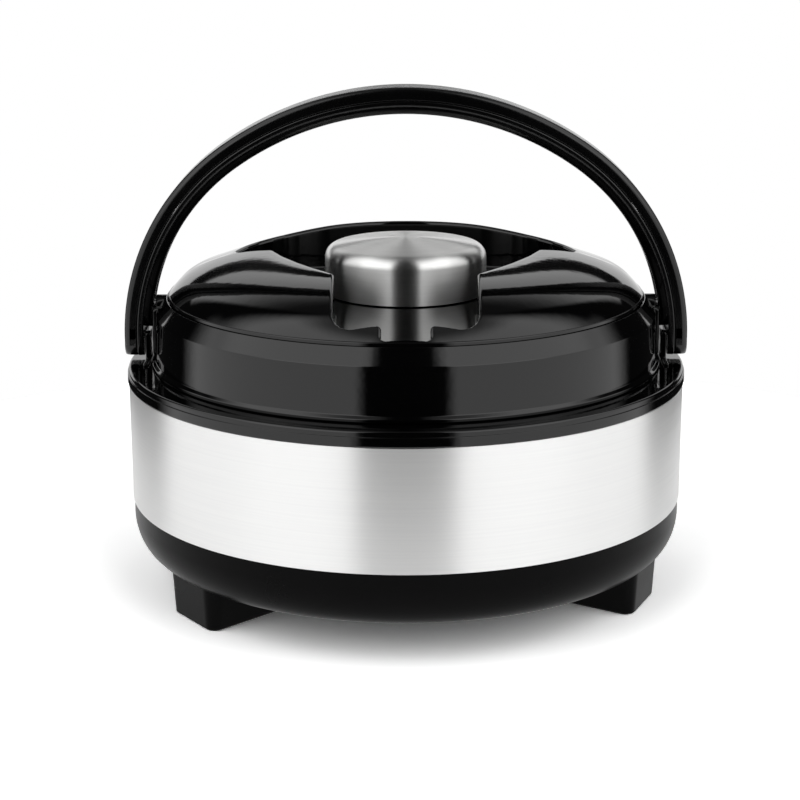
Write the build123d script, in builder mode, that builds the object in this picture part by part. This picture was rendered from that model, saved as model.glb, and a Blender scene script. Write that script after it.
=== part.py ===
"""Insulated casserole dish: a steel-banded body, a lift-off lid with a knob and a bail handle.

Millimetres. +Z is up, the origin is the centre of the plane that the three feet stand on,
-Y is the front and the handle's pivot axis runs along X.
"""

import os
from math import atan2, cos, degrees, radians, sin, sqrt

from build123d import *

quarter_turn = 90

os.makedirs("parts", exist_ok=True)

# Fits and working allowances
fit_gap = 0.1        # glued, snapped or wrapped pieces on one body
foam_gap = 0.25      # foam to the walls round it
lid_seat_gap = 0.2   # lid edge over the collar
swing_gap = 0.3      # boss end to the handle's eye
pin_clearance = 0.05  # pin in the handle's eye, on the radius
overrun = 3.0        # how far a cut runs past the face that it opens

# Steel band
band_radius = 115.0
band_sheet = 0.6
band_height = 48.8

# Outer body
body_wall = 2.5
base_inset = 0.5
base_underside = 15.7
base_round_width = 11.9
base_round_height = 16.5
base_side_height = 6.5   # upright side of the base, up to the band
wall_radius = band_radius - band_sheet - fit_gap
body_inner_radius = wall_radius - body_wall
base_radius = band_radius - base_inset
base_flat_radius = base_radius - base_round_width
base_round_top = base_underside + base_round_height
band_bottom = base_round_top + base_side_height
band_top = band_bottom + band_height
body_floor = base_underside + body_wall
fill_hole_radius = 8.0

# Feet and their screws
foot_names = {"foot_left": 216.0, "foot_right": 336.0, "foot_rear": 96.0}
foot_setback = 8.4        # outer end in from the base's side
foot_length = 44.5
foot_width = 32.0
foot_corner = 4.0
foot_flare = 1.9          # widening of each side up to the top of the rounding
foot_edge = 0.6
foot_screw_inset = 18.0   # screw from the foot's inner end
screw_shank_radius = 1.5
screw_head_radius = 3.4
screw_head_height = 2.4
screw_length = 15.0
screw_recess_depth = 8.0
screw_play = 0.3
screw_bite = 0.02    # thread-forming shank inside its boss, left clear of the wall
boss_radius = 4.2
boss_height = 7.5
foot_outer_radius = base_radius - foot_setback
foot_inner_radius = foot_outer_radius - foot_length
foot_screw_radius = foot_inner_radius + foot_screw_inset
foot_draft = degrees(atan2(foot_flare, base_round_top))

# Collar
collar_overhang = 0.4
collar_lower_lip = 3.9
collar_step = 0.5
collar_height = 6.2
collar_edge_round = 1.2
collar_web = 3.0
collar_plug_depth = 10.0
collar_plug_wall = 2.4
collar_radius = band_radius + collar_overhang
collar_top = band_top + collar_height
collar_plug_radius = body_inner_radius - fit_gap

# Inner bowl
insulation_width = 16.6   # round the bowl
insulation_depth = 9.0    # under the bowl
bowl_sheet = 0.6
bowl_corner = 20.0
bowl_flange_width = 7.0
bowl_flange_drop = 1.0
bowl_outer_radius = body_inner_radius - insulation_width
bowl_radius = bowl_outer_radius - bowl_sheet
bowl_floor = body_floor + insulation_depth + bowl_sheet
bowl_corner_centre = (bowl_radius - bowl_corner, bowl_floor + bowl_corner)
bowl_flange_radius = bowl_outer_radius + bowl_flange_width
bowl_flange_top = collar_top - bowl_flange_drop
collar_ledge = bowl_flange_top - bowl_sheet

# Filling plug
plug_flange_radius = 11.0
plug_flange_height = 1.2
plug_flange_edge = 0.4

# Lid skirt
lid_setback = 12.4    # upper edge of the wall in from the collar's side
skirt_draft = 1.0
skirt_wall = 2.2
skirt_height = 20.9
bead_width = 1.2
bead_height = 1.4
bead_round = 0.5
bevel_height = 6.4
bevel_width = 4.7
bevel_bottom_round = 0.9
bevel_top_round = 0.2
ledge_width = 6.5
ledge_thickness = 2.2
ledge_depth = 2.3
lid_bottom = collar_top + lid_seat_gap
skirt_radius = collar_radius - lid_setback
skirt_bottom_radius = skirt_radius + skirt_draft
bevel_bottom = lid_bottom + skirt_height
bevel_top = bevel_bottom + bevel_height
dome_seat_radius = skirt_radius - bevel_width
dome_seat = bevel_top - ledge_depth
skirt_inner_radius = skirt_radius - skirt_wall

# Keepers that stand on the collar beside the handle's legs
keeper_gap = 0.6     # keeper to the lid's bead
keeper_thickness = 2.0
keeper_half_width = 7.5
keeper_height = 12.5
keeper_curb_half_width = 17.0
keeper_curb_height = 1.0
keeper_corner = 2.0
keeper_inner_x = skirt_bottom_radius + bead_width + keeper_gap
keeper_outer_x = keeper_inner_x + keeper_thickness

# Pivot of the handle
pivot_boss_radius = 4.0
pin_radius = 2.0
pin_edge = 0.5
pin_cover = 0.4      # boss left over the pin, under the dome's seat
pin_backing = 1.5    # boss left behind the pin
pivot_pad_depth = 5.5  # boss's root in from the dome's seat
pivot_height = dome_seat - pin_cover - pin_radius

# Lid liner
liner_sheet = 0.8
liner_play = 2.0     # liner's side to the bowl
liner_depth = 9.5
liner_corner = 4.0
liner_lift = 1.5     # rim groove above the skirt's lower edge
groove_depth = 0.5
liner_radius = bowl_radius - liner_play
liner_rim = lid_bottom + liner_lift
liner_rim_radius = skirt_bottom_radius - skirt_wall + groove_depth - fit_gap
liner_bottom = liner_rim - liner_depth

# Lid dome
groove_width = 0.6
dome_wall = 2.2
dome_flange = 6.6
dome_rise = 19.1           # lip of the pocket above the rim
dome_rim_rise = 0.9        # rim above the bevel's upper edge
brow_share = 0.905         # where the flank bends down to the rim
brow_rise_share = 0.44
rim_slope = 52.0
dome_radius = dome_seat_radius - groove_width
dome_rim = bevel_top + dome_rim_rise
dome_lip = dome_rim + dome_rise

# Finger pocket of the dome: a round well, a bay in front of it and a notch through the rim
pocket_setback = 39.2      # well's side in from the dome's rim
pocket_depth = 0.3         # floor below the dome's rim
pocket_lip = 1.0
bay_setback = 4.7          # bay's front in from the dome's rim
bay_width = 54.6
bay_corner = 18.0
bay_mouth_round = 6.0      # where the bay opens into the well
notch_width = 18.2
pocket_radius = dome_radius - pocket_setback
bay_front = bay_setback - dome_radius
pocket_floor = dome_rim - pocket_depth

# Knob
knob_radius = 33.3
knob_sheet = 0.8
knob_height = 18.7
knob_crown = 3.7
knob_edge_round = 5.5
knob_foot_gap = 0.5
knob_pedestal_inset = 4.0
knob_screw_radius = 2.5
knob_head_radius = 5.0
knob_head_height = 3.2
knob_screw_reach = 12.0
knob_washer_radius = 8.5
knob_washer_thickness = 1.0
knob_boss_radius = 10.0
knob_boss_height = 2.6
insert_radius = 4.6
insert_length = 10.0
insert_play = 0.1
knob_bottom = pocket_floor + knob_foot_gap
knob_top = knob_bottom + knob_height

# Handle
handle_standoff = 2.4   # leg's inner face out from the skirt
handle_thickness = 11.0
handle_depth = 18.0
handle_leg_gap = 2.0    # leg's foot above the collar
handle_leg_height = 7.6
handle_crown = 6.1      # arch above the reach of its side arcs
arch_side_x = 19.4      # centre of each side arc, out from the middle
handle_cap_thickness = 5.4
handle_cap_inset = 0.45
handle_tongue_depth = 1.0
handle_tongue_width = 6.0
handle_inner_round = 4.9
handle_outer_round = 2.4
handle_seam_round = 0.5
leg_end_round = 5.0
leg_keeper_gap = 0.5
eye_depth = 3.4
handle_half_depth = handle_depth / 2
handle_inner_x = skirt_radius + handle_standoff
handle_half_span = handle_inner_x + handle_thickness
handle_seam_x = handle_half_span - handle_cap_thickness
handle_leg_bottom = collar_top + handle_leg_gap
handle_spring = handle_leg_bottom + handle_leg_height
handle_side_radius = handle_half_span - arch_side_x
handle_rise = handle_side_radius + handle_crown

# The arch is three tangent arcs: two side arcs and a flatter top arc
arch_top_radius = arch_side_x**2 + handle_rise**2 - handle_side_radius**2
arch_top_radius /= 2 * handle_crown
arch_top_drop = arch_top_radius - handle_rise
arch_side_angle = degrees(atan2(arch_top_drop, arch_side_x))

# The eye's face stands where the arch has leaned in beside the top of the boss
eye_rise = pivot_height + pivot_boss_radius - handle_spring
eye_face_x = arch_side_x + sqrt((handle_side_radius - handle_thickness) ** 2 - eye_rise**2)
pivot_boss_end_x = eye_face_x - swing_gap
pad_inner_x = dome_seat_radius - pivot_pad_depth
pin_inner_x = pad_inner_x + pin_backing
pin_outer_x = handle_inner_x + eye_depth - swing_gap


def side_plane(side, x, height):
    """A plane across the X axis on one side of the dish, looking outwards."""
    return Plane(origin=(side * x, 0, height), x_dir=(0, side, 0), z_dir=(side, 0, 0))


def keep(builder, name):
    """Label a finished piece and write it."""
    builder.part.label = name
    export_step(builder.part, f"parts/{name}.step")


# Outer body: one moulding, a rounded base that carries on up as the wall behind the band
with BuildPart() as outer_body:
    with BuildSketch(Plane.XZ):
        with BuildLine():
            Polyline((0, body_floor), (0, base_underside), (base_flat_radius, base_underside))
            EllipticalCenterArc(
                (base_flat_radius, base_round_top),
                base_round_width,
                base_round_height,
                start_angle=-quarter_turn,
                arc_size=quarter_turn,
            )
            Polyline(
                (base_radius, base_round_top),
                (base_radius, band_bottom),
                (wall_radius, band_bottom),
                (wall_radius, band_top),
                (body_inner_radius, band_top),
                (body_inner_radius, base_round_top),
            )
            EllipticalCenterArc(
                (base_flat_radius, base_round_top),
                body_inner_radius - base_flat_radius,
                base_round_top - body_floor,
                start_angle=-quarter_turn,
                arc_size=quarter_turn,
            )
            Line((base_flat_radius, body_floor), (0, body_floor))
        make_face()
    revolve(axis=Axis.Z)
    with BuildSketch(Plane.XY.offset(body_floor)):
        for foot_angle in foot_names.values():
            with PolarLocations(foot_screw_radius, 1, start_angle=foot_angle):
                Circle(boss_radius)
    extrude(amount=boss_height)
    screw_bore_depth = screw_length - base_underside + screw_recess_depth + fit_gap
    with BuildSketch(Plane.XY.offset(base_underside)):
        for foot_angle in foot_names.values():
            with PolarLocations(foot_screw_radius, 1, start_angle=foot_angle):
                Circle(screw_shank_radius + screw_bite)
    extrude(amount=screw_bore_depth, mode=Mode.SUBTRACT)
    with Locations((0, 0, base_underside)):
        Cylinder(
            fill_hole_radius,
            body_wall,
            align=(Align.CENTER, Align.CENTER, Align.MIN),
            mode=Mode.SUBTRACT,
        )
keep(outer_body, "outer_body")

# Steel band: sheet wrapped round the wall
with BuildPart() as steel_band:
    with BuildSketch(Plane.XY.offset(band_bottom)):
        Circle(band_radius)
        Circle(band_radius - band_sheet, mode=Mode.SUBTRACT)
    extrude(amount=band_height)
keep(steel_band, "steel_band")

# Filling plug: pushed into the hole in the middle of the base
with BuildPart() as foam_plug:
    with BuildSketch(Plane.XY.offset(base_underside - plug_flange_height)):
        Circle(plug_flange_radius)
    extrude(amount=plug_flange_height)
    chamfer(foam_plug.edges().group_by(Axis.Z)[0], plug_flange_edge)
    with BuildSketch(Plane.XY.offset(base_underside)):
        Circle(fill_hole_radius - fit_gap)
    extrude(amount=body_wall)
keep(foam_plug, "foam_plug")

# Collar: ring over the band's upper edge, with a ledge for the bowl's flange and two keepers
with BuildPart() as collar:
    with BuildSketch(Plane.XZ):
        Polygon(
            (collar_radius, band_top),
            (collar_radius, band_top + collar_lower_lip),
            (collar_radius - collar_step, band_top + collar_lower_lip),
            (collar_radius - collar_step, collar_top),
            (bowl_flange_radius + fit_gap, collar_top),
            (bowl_flange_radius + fit_gap, collar_ledge),
            (bowl_outer_radius + fit_gap, collar_ledge),
            (bowl_outer_radius + fit_gap, collar_ledge - collar_web),
            (bowl_flange_radius + collar_plug_wall, collar_ledge - collar_web),
            (bowl_flange_radius + collar_plug_wall, collar_top - collar_web),
            (collar_plug_radius - collar_plug_wall, collar_top - collar_web),
            (collar_plug_radius - collar_plug_wall, band_top - collar_plug_depth),
            (collar_plug_radius, band_top - collar_plug_depth),
            (collar_plug_radius, band_top),
        )
    revolve(axis=Axis.Z)
    rim = collar.faces().filter_by(Plane.XY).sort_by(Axis.Z)[-1]
    fillet(rim.edges().sort_by(SortBy.LENGTH)[-1], collar_edge_round)
    for side in (-1, 1):
        with BuildSketch(side_plane(side, keeper_inner_x, collar_top)) as keeper:
            Rectangle(
                2 * keeper_curb_half_width, keeper_curb_height, align=(Align.CENTER, Align.MIN)
            )
            Rectangle(2 * keeper_half_width, keeper_height, align=(Align.CENTER, Align.MIN))
            fillet(keeper.vertices().group_by(Axis.Y)[-1], keeper_corner)
        extrude(amount=keeper_thickness)
keep(collar, "collar")

# Inner bowl: pressed from sheet, with a flat flange
with BuildPart() as inner_bowl:
    with BuildSketch(Plane.XZ):
        with BuildLine():
            Polyline(
                (0, bowl_floor),
                (0, bowl_floor - bowl_sheet),
                (bowl_radius - bowl_corner, bowl_floor - bowl_sheet),
            )
            outer_corner = bowl_corner + bowl_sheet
            CenterArc(bowl_corner_centre, outer_corner, -quarter_turn, quarter_turn)
            Polyline(
                (bowl_outer_radius, bowl_floor + bowl_corner),
                (bowl_outer_radius, collar_ledge),
                (bowl_flange_radius, collar_ledge),
                (bowl_flange_radius, bowl_flange_top),
                (bowl_radius, bowl_flange_top),
                (bowl_radius, bowl_floor + bowl_corner),
            )
            CenterArc(bowl_corner_centre, bowl_corner, -quarter_turn, quarter_turn)
            Line((bowl_radius - bowl_corner, bowl_floor), (0, bowl_floor))
        make_face()
    revolve(axis=Axis.Z)
keep(inner_bowl, "inner_bowl")

# Body foam: fills the space between the bowl and the wall, below the collar
with BuildPart() as body_foam:
    foam_inner = bowl_outer_radius + foam_gap
    foam_outer = body_inner_radius - foam_gap
    foam_floor = body_floor + foam_gap
    foam_neck = collar_plug_radius - collar_plug_wall - foam_gap
    foam_bowl_floor = bowl_floor - bowl_sheet - foam_gap
    foam_corner = bowl_corner + bowl_sheet + foam_gap
    with BuildSketch(Plane.XZ):
        with BuildLine():
            Line((0, foam_floor), (base_flat_radius, foam_floor))
            EllipticalCenterArc(
                (base_flat_radius, base_round_top),
                foam_outer - base_flat_radius,
                base_round_top - foam_floor,
                start_angle=-quarter_turn,
                arc_size=quarter_turn,
            )
            Polyline(
                (foam_outer, base_round_top),
                (foam_outer, band_top - collar_plug_depth - foam_gap),
                (foam_neck, band_top - collar_plug_depth - foam_gap),
                (foam_neck, collar_ledge - collar_web - foam_gap),
                (foam_inner, collar_ledge - collar_web - foam_gap),
                (foam_inner, bowl_floor + bowl_corner),
            )
            CenterArc(bowl_corner_centre, foam_corner, -quarter_turn, quarter_turn)
            Polyline((bowl_radius - bowl_corner, foam_bowl_floor), (0, foam_bowl_floor), (0, foam_floor))
        make_face()
    revolve(axis=Axis.Z)
    with BuildSketch(Plane.XY.offset(body_floor)):
        for foot_angle in foot_names.values():
            with PolarLocations(foot_screw_radius, 1, start_angle=foot_angle):
                Circle(boss_radius + foam_gap)
    extrude(amount=boss_height + foam_gap, mode=Mode.SUBTRACT)
keep(body_foam, "body_foam")

# Feet: drafted wedges with radial sides, trimmed to the base that they sit under
foot_inner_width = foot_width * foot_inner_radius / foot_outer_radius
for foot_name, foot_angle in foot_names.items():
    with BuildPart() as foot:
        with BuildSketch(Plane.XY.rotated((0, 0, foot_angle))) as foot_plan:
            Polygon(
                (foot_inner_radius, -foot_inner_width / 2),
                (foot_outer_radius, -foot_width / 2),
                (foot_outer_radius, foot_width / 2),
                (foot_inner_radius, foot_inner_width / 2),
            )
            fillet(foot_plan.vertices(), foot_corner)
        extrude(amount=base_round_top, taper=-foot_draft)
        chamfer(foot.edges().group_by(Axis.Z)[0], foot_edge)
        with BuildSketch(Plane.XZ):
            with BuildLine():
                Polyline(
                    (0, base_round_top + overrun),
                    (0, base_underside - fit_gap),
                    (base_flat_radius, base_underside - fit_gap),
                )
                EllipticalCenterArc(
                    (base_flat_radius, base_round_top),
                    base_round_width + fit_gap,
                    base_round_height + fit_gap,
                    start_angle=-quarter_turn,
                    arc_size=quarter_turn,
                )
                Polyline(
                    (base_radius + fit_gap, base_round_top),
                    (base_radius + fit_gap, base_round_top + overrun),
                    (0, base_round_top + overrun),
                )
            make_face()
        revolve(axis=Axis.Z, mode=Mode.SUBTRACT)
        with Locations(Plane.XY.rotated((0, 0, foot_angle))):
            with Locations((foot_screw_radius, 0, 0)):
                Cylinder(
                    screw_head_radius + screw_play,
                    screw_recess_depth,
                    align=(Align.CENTER, Align.CENTER, Align.MIN),
                    mode=Mode.SUBTRACT,
                )
                Cylinder(
                    screw_shank_radius + screw_play,
                    base_underside,
                    align=(Align.CENTER, Align.CENTER, Align.MIN),
                    mode=Mode.SUBTRACT,
                )
    keep(foot, foot_name)

# Foot screws: pan heads in the feet's recesses, shanks up into the bosses of the base
with BuildPart() as foot_screws:
    for foot_angle in foot_names.values():
        with Locations(Plane.XY.offset(screw_recess_depth).rotated((0, 0, foot_angle))):
            with Locations((foot_screw_radius, 0, 0)):
                Cylinder(
                    screw_head_radius,
                    screw_head_height,
                    align=(Align.CENTER, Align.CENTER, Align.MAX),
                )
                Cylinder(
                    screw_shank_radius,
                    screw_length,
                    align=(Align.CENTER, Align.CENTER, Align.MIN),
                )
keep(foot_screws, "foot_screws")

# Lid skirt: drafted wall with a bead at its foot, a bevel, a ledge for the dome and two bosses
with BuildPart() as lid_skirt:
    inner_bottom_radius = skirt_bottom_radius - skirt_wall
    ledge_bottom = dome_seat - ledge_thickness
    bead_top = (skirt_bottom_radius + bead_width, lid_bottom + bead_height)
    with BuildSketch(Plane.XZ) as skirt_profile:
        Polygon(
            (inner_bottom_radius, lid_bottom),
            (skirt_bottom_radius + bead_width, lid_bottom),
            bead_top,
            (skirt_bottom_radius, lid_bottom + bead_height + bead_width),
            (skirt_radius, bevel_bottom),
            (dome_seat_radius, bevel_top),
            (dome_seat_radius, dome_seat),
            (dome_seat_radius - ledge_width, dome_seat),
            (dome_seat_radius - ledge_width, ledge_bottom),
            (skirt_inner_radius - ledge_thickness, ledge_bottom),
            (skirt_inner_radius, bevel_bottom - ledge_thickness),
        )
        skirt_rounds = (
            (bead_top, bead_round),
            ((skirt_radius, bevel_bottom), bevel_bottom_round),
            ((dome_seat_radius, bevel_top), bevel_top_round),
        )
        for corner, radius in skirt_rounds:
            fillet(skirt_profile.vertices().sort_by_distance(corner)[0], radius)
    revolve(axis=Axis.Z)
    with BuildSketch(Plane.XY.offset(liner_rim - fit_gap)):
        Circle(liner_rim_radius + fit_gap)
    extrude(amount=liner_sheet + 2 * fit_gap, mode=Mode.SUBTRACT)
    for side in (-1, 1):
        with BuildSketch(side_plane(side, pad_inner_x, pivot_height)):
            Circle(pivot_boss_radius)
        extrude(amount=pivot_boss_end_x - pad_inner_x)
    with Locations((0, 0, dome_seat)):
        Cylinder(
            dome_seat_radius,
            bevel_top - dome_seat + overrun,
            align=(Align.CENTER, Align.CENTER, Align.MIN),
            mode=Mode.SUBTRACT,
        )
    for side in (-1, 1):
        with BuildSketch(side_plane(side, pin_inner_x, pivot_height)):
            Circle(pin_radius)
        extrude(amount=pivot_boss_end_x - pin_inner_x + overrun, mode=Mode.SUBTRACT)
keep(lid_skirt, "lid_skirt")

# Pivot pins: steel dowels pressed into the bosses
for pin_name, side in (("pivot_pin_left", -1), ("pivot_pin_right", 1)):
    with BuildPart() as pivot_pin:
        with BuildSketch(side_plane(side, pin_inner_x, pivot_height)):
            Circle(pin_radius)
        extrude(amount=pin_outer_x - pin_inner_x)
        chamfer(pivot_pin.edges().filter_by(GeomType.CIRCLE), pin_edge)
    keep(pivot_pin, pin_name)

# Lid liner: shallow steel dish that snaps into the skirt's groove
with BuildPart() as lid_liner:
    with BuildSketch(Plane.XZ) as liner_profile:
        Polygon(
            (0, liner_bottom),
            (liner_radius, liner_bottom),
            (liner_radius, liner_rim),
            (liner_rim_radius, liner_rim),
            (liner_rim_radius, liner_rim + liner_sheet),
            (liner_radius - liner_sheet, liner_rim + liner_sheet),
            (liner_radius - liner_sheet, liner_bottom + liner_sheet),
            (0, liner_bottom + liner_sheet),
        )
        floor_corners = liner_profile.vertices().filter_by(lambda v: v.X > 0).group_by(Axis.Y)
        fillet(floor_corners[0], liner_corner)
        fillet(floor_corners[1], liner_corner - liner_sheet)
    revolve(axis=Axis.Z)
keep(lid_liner, "lid_liner")

# Lid foam: lies in the liner and fills the skirt up to its ledge
with BuildPart() as lid_foam:
    foam_dish_radius = liner_radius - liner_sheet - foam_gap
    foam_dish_bottom = liner_bottom + liner_sheet + foam_gap
    foam_shelf = liner_rim + liner_sheet + foam_gap
    foam_skirt_radius = skirt_inner_radius - foam_gap
    foam_pad = pivot_height - pivot_boss_radius - foam_gap
    foam_waist = pad_inner_x - foam_gap
    foam_top = dome_seat - ledge_thickness - foam_gap
    foam_well = dome_seat - knob_boss_height - knob_washer_thickness
    foam_well -= knob_head_height + foam_gap
    foam_well_radius = knob_boss_radius + foam_gap
    with BuildSketch(Plane.XZ) as lid_foam_profile:
        Polygon(
            (0, foam_dish_bottom),
            (foam_dish_radius, foam_dish_bottom),
            (foam_dish_radius, foam_shelf),
            (foam_skirt_radius, foam_shelf),
            (foam_skirt_radius, foam_pad),
            (foam_waist, foam_pad),
            (foam_waist, foam_top),
            (foam_well_radius, foam_top),
            (foam_well_radius, foam_well),
            (0, foam_well),
        )
        low_corner = lid_foam_profile.vertices().group_by(Axis.Y)[0].sort_by(Axis.X)[-1]
        fillet(low_corner, liner_corner)
    revolve(axis=Axis.Z)
keep(lid_foam, "lid_foam")


def dome_profile(radius, rim, lip, base):
    """Half section of a dome: a straight flank past the pocket's lip, a brow and a steep rim."""
    rise = lip - rim
    brow = (radius * brow_share, rim + rise * brow_rise_share)
    flank_slope = (lip - brow[1]) / (brow[0] - pocket_radius)
    peak = (0, lip + flank_slope * pocket_radius)
    rim_direction = (cos(radians(rim_slope)), -sin(radians(rim_slope)))
    with BuildSketch() as section:
        with BuildLine():
            flank = Line(peak, brow)
            Spline(brow, (radius, rim), tangents=(flank % 1, rim_direction))
            Polyline((radius, rim), (radius, base), (0, base), peak)
        make_face()
    return section.sketch


def pocket_plan():
    """Plan of the finger pocket: a round well with a bay that opens to the front."""
    bay_half = bay_width / 2
    mouth_y = -sqrt(pocket_radius**2 - bay_half**2)
    with BuildSketch() as plan:
        Circle(pocket_radius)
        with Locations((0, bay_front)):
            Rectangle(bay_width, -bay_front, align=(Align.CENTER, Align.MIN))
        for side in (-1, 1):
            front_corner = plan.vertices().sort_by_distance((side * bay_half, bay_front))[0]
            fillet(front_corner, bay_corner)
            mouth_corner = plan.vertices().sort_by_distance((side * bay_half, mouth_y))[0]
            fillet(mouth_corner, bay_mouth_round)
    return plan.sketch


# Space under the dome: inside its flank, less the walled tub of the pocket
dome_height = 2 * (dome_lip - dome_seat)
with BuildPart() as dome_cavity:
    with BuildSketch(Plane.XZ):
        add(dome_profile(dome_radius - dome_flange, dome_rim, dome_lip - dome_wall, dome_seat))
    revolve(axis=Axis.Z)
    with BuildSketch(Plane.XY.offset(dome_seat)):
        add(pocket_plan())
        offset(amount=dome_wall)
    extrude(amount=dome_height, mode=Mode.SUBTRACT)

# Lid dome: a sloping shell with the finger pocket let into it, and a boss for the knob's screw
with BuildPart() as lid_dome:
    with BuildSketch(Plane.XZ):
        add(dome_profile(dome_radius, dome_rim, dome_lip, dome_seat))
    revolve(axis=Axis.Z)
    add(dome_cavity.part, mode=Mode.SUBTRACT)
    with BuildSketch(Plane.XY.offset(pocket_floor)):
        add(pocket_plan())
    extrude(amount=dome_height, mode=Mode.SUBTRACT)
    lip_edges = lid_dome.edges(Select.LAST).filter_by(
        lambda edge: edge.bounding_box().min.Z > pocket_floor + pocket_depth / 2
    )
    fillet(lip_edges, pocket_lip)
    with BuildSketch(Plane.XY.offset(pocket_floor)):
        with Locations((0, bay_front)):
            Rectangle(notch_width, 2 * (bay_setback + overrun))
    extrude(amount=dome_height, mode=Mode.SUBTRACT)
    with BuildSketch(Plane.XY.offset(dome_seat)):
        Circle(knob_boss_radius)
    extrude(amount=-knob_boss_height)
    with BuildSketch(Plane.XY.offset(pocket_floor)):
        Circle(knob_screw_radius + insert_play)
    extrude(amount=-(pocket_floor - dome_seat + knob_boss_height), mode=Mode.SUBTRACT)
keep(lid_dome, "lid_dome")


def knob_profile(radius, bottom, top, crown, edge_round):
    """Half section of the knob: a straight side, a rounded edge and a slightly crowned top."""
    with BuildSketch() as section:
        with BuildLine():
            TangentArc((0, top + crown), (radius, top), tangent=(1, 0))
            Polyline((radius, top), (radius, bottom), (0, bottom), (0, top + crown))
        make_face()
        fillet(section.vertices().sort_by_distance((radius, top))[0], edge_round)
    return section.sketch


# Knob cap: drawn from steel sheet, open below
with BuildPart() as knob_cap:
    with BuildSketch(Plane.XZ):
        add(knob_profile(knob_radius, knob_bottom, knob_top, knob_crown, knob_edge_round))
    revolve(axis=Axis.Z)
    offset(amount=-knob_sheet, openings=knob_cap.faces().sort_by(Axis.Z)[0])
keep(knob_cap, "knob_cap")

# Knob core: moulded plug inside the cap, on a pedestal that stands on the pocket's floor
with BuildPart() as knob_core:
    core_inset = knob_sheet + fit_gap
    with BuildSketch(Plane.XZ):
        add(
            knob_profile(
                knob_radius - core_inset,
                knob_bottom,
                knob_top - core_inset,
                knob_crown,
                knob_edge_round - core_inset,
            )
        )
    revolve(axis=Axis.Z)
    with BuildSketch(Plane.XY.offset(pocket_floor)):
        Circle(knob_radius - core_inset - knob_pedestal_inset)
    extrude(amount=knob_foot_gap)
    with BuildSketch(Plane.XY.offset(pocket_floor)):
        Circle(insert_radius + fit_gap)
    extrude(amount=knob_screw_reach + fit_gap, mode=Mode.SUBTRACT)
keep(knob_core, "knob_core")

# Knob insert: threaded sleeve in the core, its thread left plain
with BuildPart() as knob_insert:
    with BuildSketch(Plane.XY.offset(pocket_floor)):
        Circle(insert_radius)
        Circle(knob_screw_radius + insert_play, mode=Mode.SUBTRACT)
    extrude(amount=insert_length)
keep(knob_insert, "knob_insert")

# Knob screw and washer: hold the knob from inside the lid
washer_top = dome_seat - knob_boss_height
with BuildPart() as knob_washer:
    with BuildSketch(Plane.XY.offset(washer_top)):
        Circle(knob_washer_radius)
        Circle(knob_screw_radius + insert_play, mode=Mode.SUBTRACT)
    extrude(amount=-knob_washer_thickness)
keep(knob_washer, "knob_washer")

with BuildPart() as knob_screw:
    head_top = washer_top - knob_washer_thickness
    with BuildSketch(Plane.XY.offset(head_top)):
        Circle(knob_head_radius)
    extrude(amount=-knob_head_height)
    with BuildSketch(Plane.XY.offset(head_top)):
        Circle(knob_screw_radius)
    extrude(amount=pocket_floor + knob_screw_reach - head_top)
keep(knob_screw, "knob_screw")


def arch_path():
    """The seam line of the handle, from the foot of one leg over the arch to the other."""
    side_radius = handle_side_radius - handle_cap_thickness
    top_radius = arch_top_radius - handle_cap_thickness
    top_sweep = 180 - 2 * arch_side_angle
    with BuildLine(Plane.XZ) as path:
        Line((handle_seam_x, handle_leg_bottom), (handle_seam_x, handle_spring))
        CenterArc((arch_side_x, handle_spring), side_radius, 0, arch_side_angle)
        CenterArc((0, handle_spring - arch_top_drop), top_radius, arch_side_angle, top_sweep)
        CenterArc((-arch_side_x, handle_spring), side_radius, 180 - arch_side_angle, arch_side_angle)
        Line((-handle_seam_x, handle_spring), (-handle_seam_x, handle_leg_bottom))
    return path.wire()


# Rounded foot of each leg, as the waste that is trimmed away
with BuildPart() as leg_end_waste:
    with BuildSketch(Plane.YZ):
        with Locations((0, handle_leg_bottom - overrun)):
            Rectangle(
                handle_depth + 2 * overrun, leg_end_round + overrun, align=(Align.CENTER, Align.MIN)
            )
        with Locations((0, handle_leg_bottom)):
            RectangleRounded(
                handle_depth,
                handle_depth,
                leg_end_round,
                align=(Align.CENTER, Align.MIN),
                mode=Mode.SUBTRACT,
            )
    extrude(amount=handle_half_span + overrun, both=True)

leg_plane = Plane(origin=(handle_seam_x, 0, handle_leg_bottom), x_dir=(1, 0, 0), z_dir=(0, 0, 1))
bail_thickness = handle_thickness - handle_cap_thickness

# Handle bail: the arch with a slot for the cap strip, and an eye in each leg
with BuildPart() as handle_bail:
    with BuildSketch(leg_plane) as bail_section:
        Rectangle(bail_thickness, handle_depth, align=(Align.MAX, Align.CENTER))
        bail_corners = bail_section.vertices().group_by(Axis.X)
        fillet(bail_corners[0], handle_inner_round)
        fillet(bail_corners[-1], handle_seam_round)
        Rectangle(
            handle_tongue_depth,
            handle_tongue_width,
            align=(Align.MAX, Align.CENTER),
            mode=Mode.SUBTRACT,
        )
    sweep(path=arch_path())
    add(leg_end_waste.part, mode=Mode.SUBTRACT)
    rebate_depth = keeper_outer_x + leg_keeper_gap - handle_inner_x + overrun
    for side in (-1, 1):
        with BuildSketch(side_plane(side, handle_inner_x - overrun, pivot_height)):
            Rectangle(
                handle_depth + 2 * overrun,
                pivot_height - handle_leg_bottom + overrun,
                align=(Align.CENTER, Align.MAX),
            )
            Circle(handle_half_depth, mode=Mode.SUBTRACT)
        extrude(amount=rebate_depth, mode=Mode.SUBTRACT)
        with BuildSketch(side_plane(side, eye_face_x - overrun, pivot_height)):
            Circle(pin_radius + pin_clearance)
        extrude(amount=handle_inner_x + eye_depth - eye_face_x + overrun, mode=Mode.SUBTRACT)
keep(handle_bail, "handle_bail")

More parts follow.
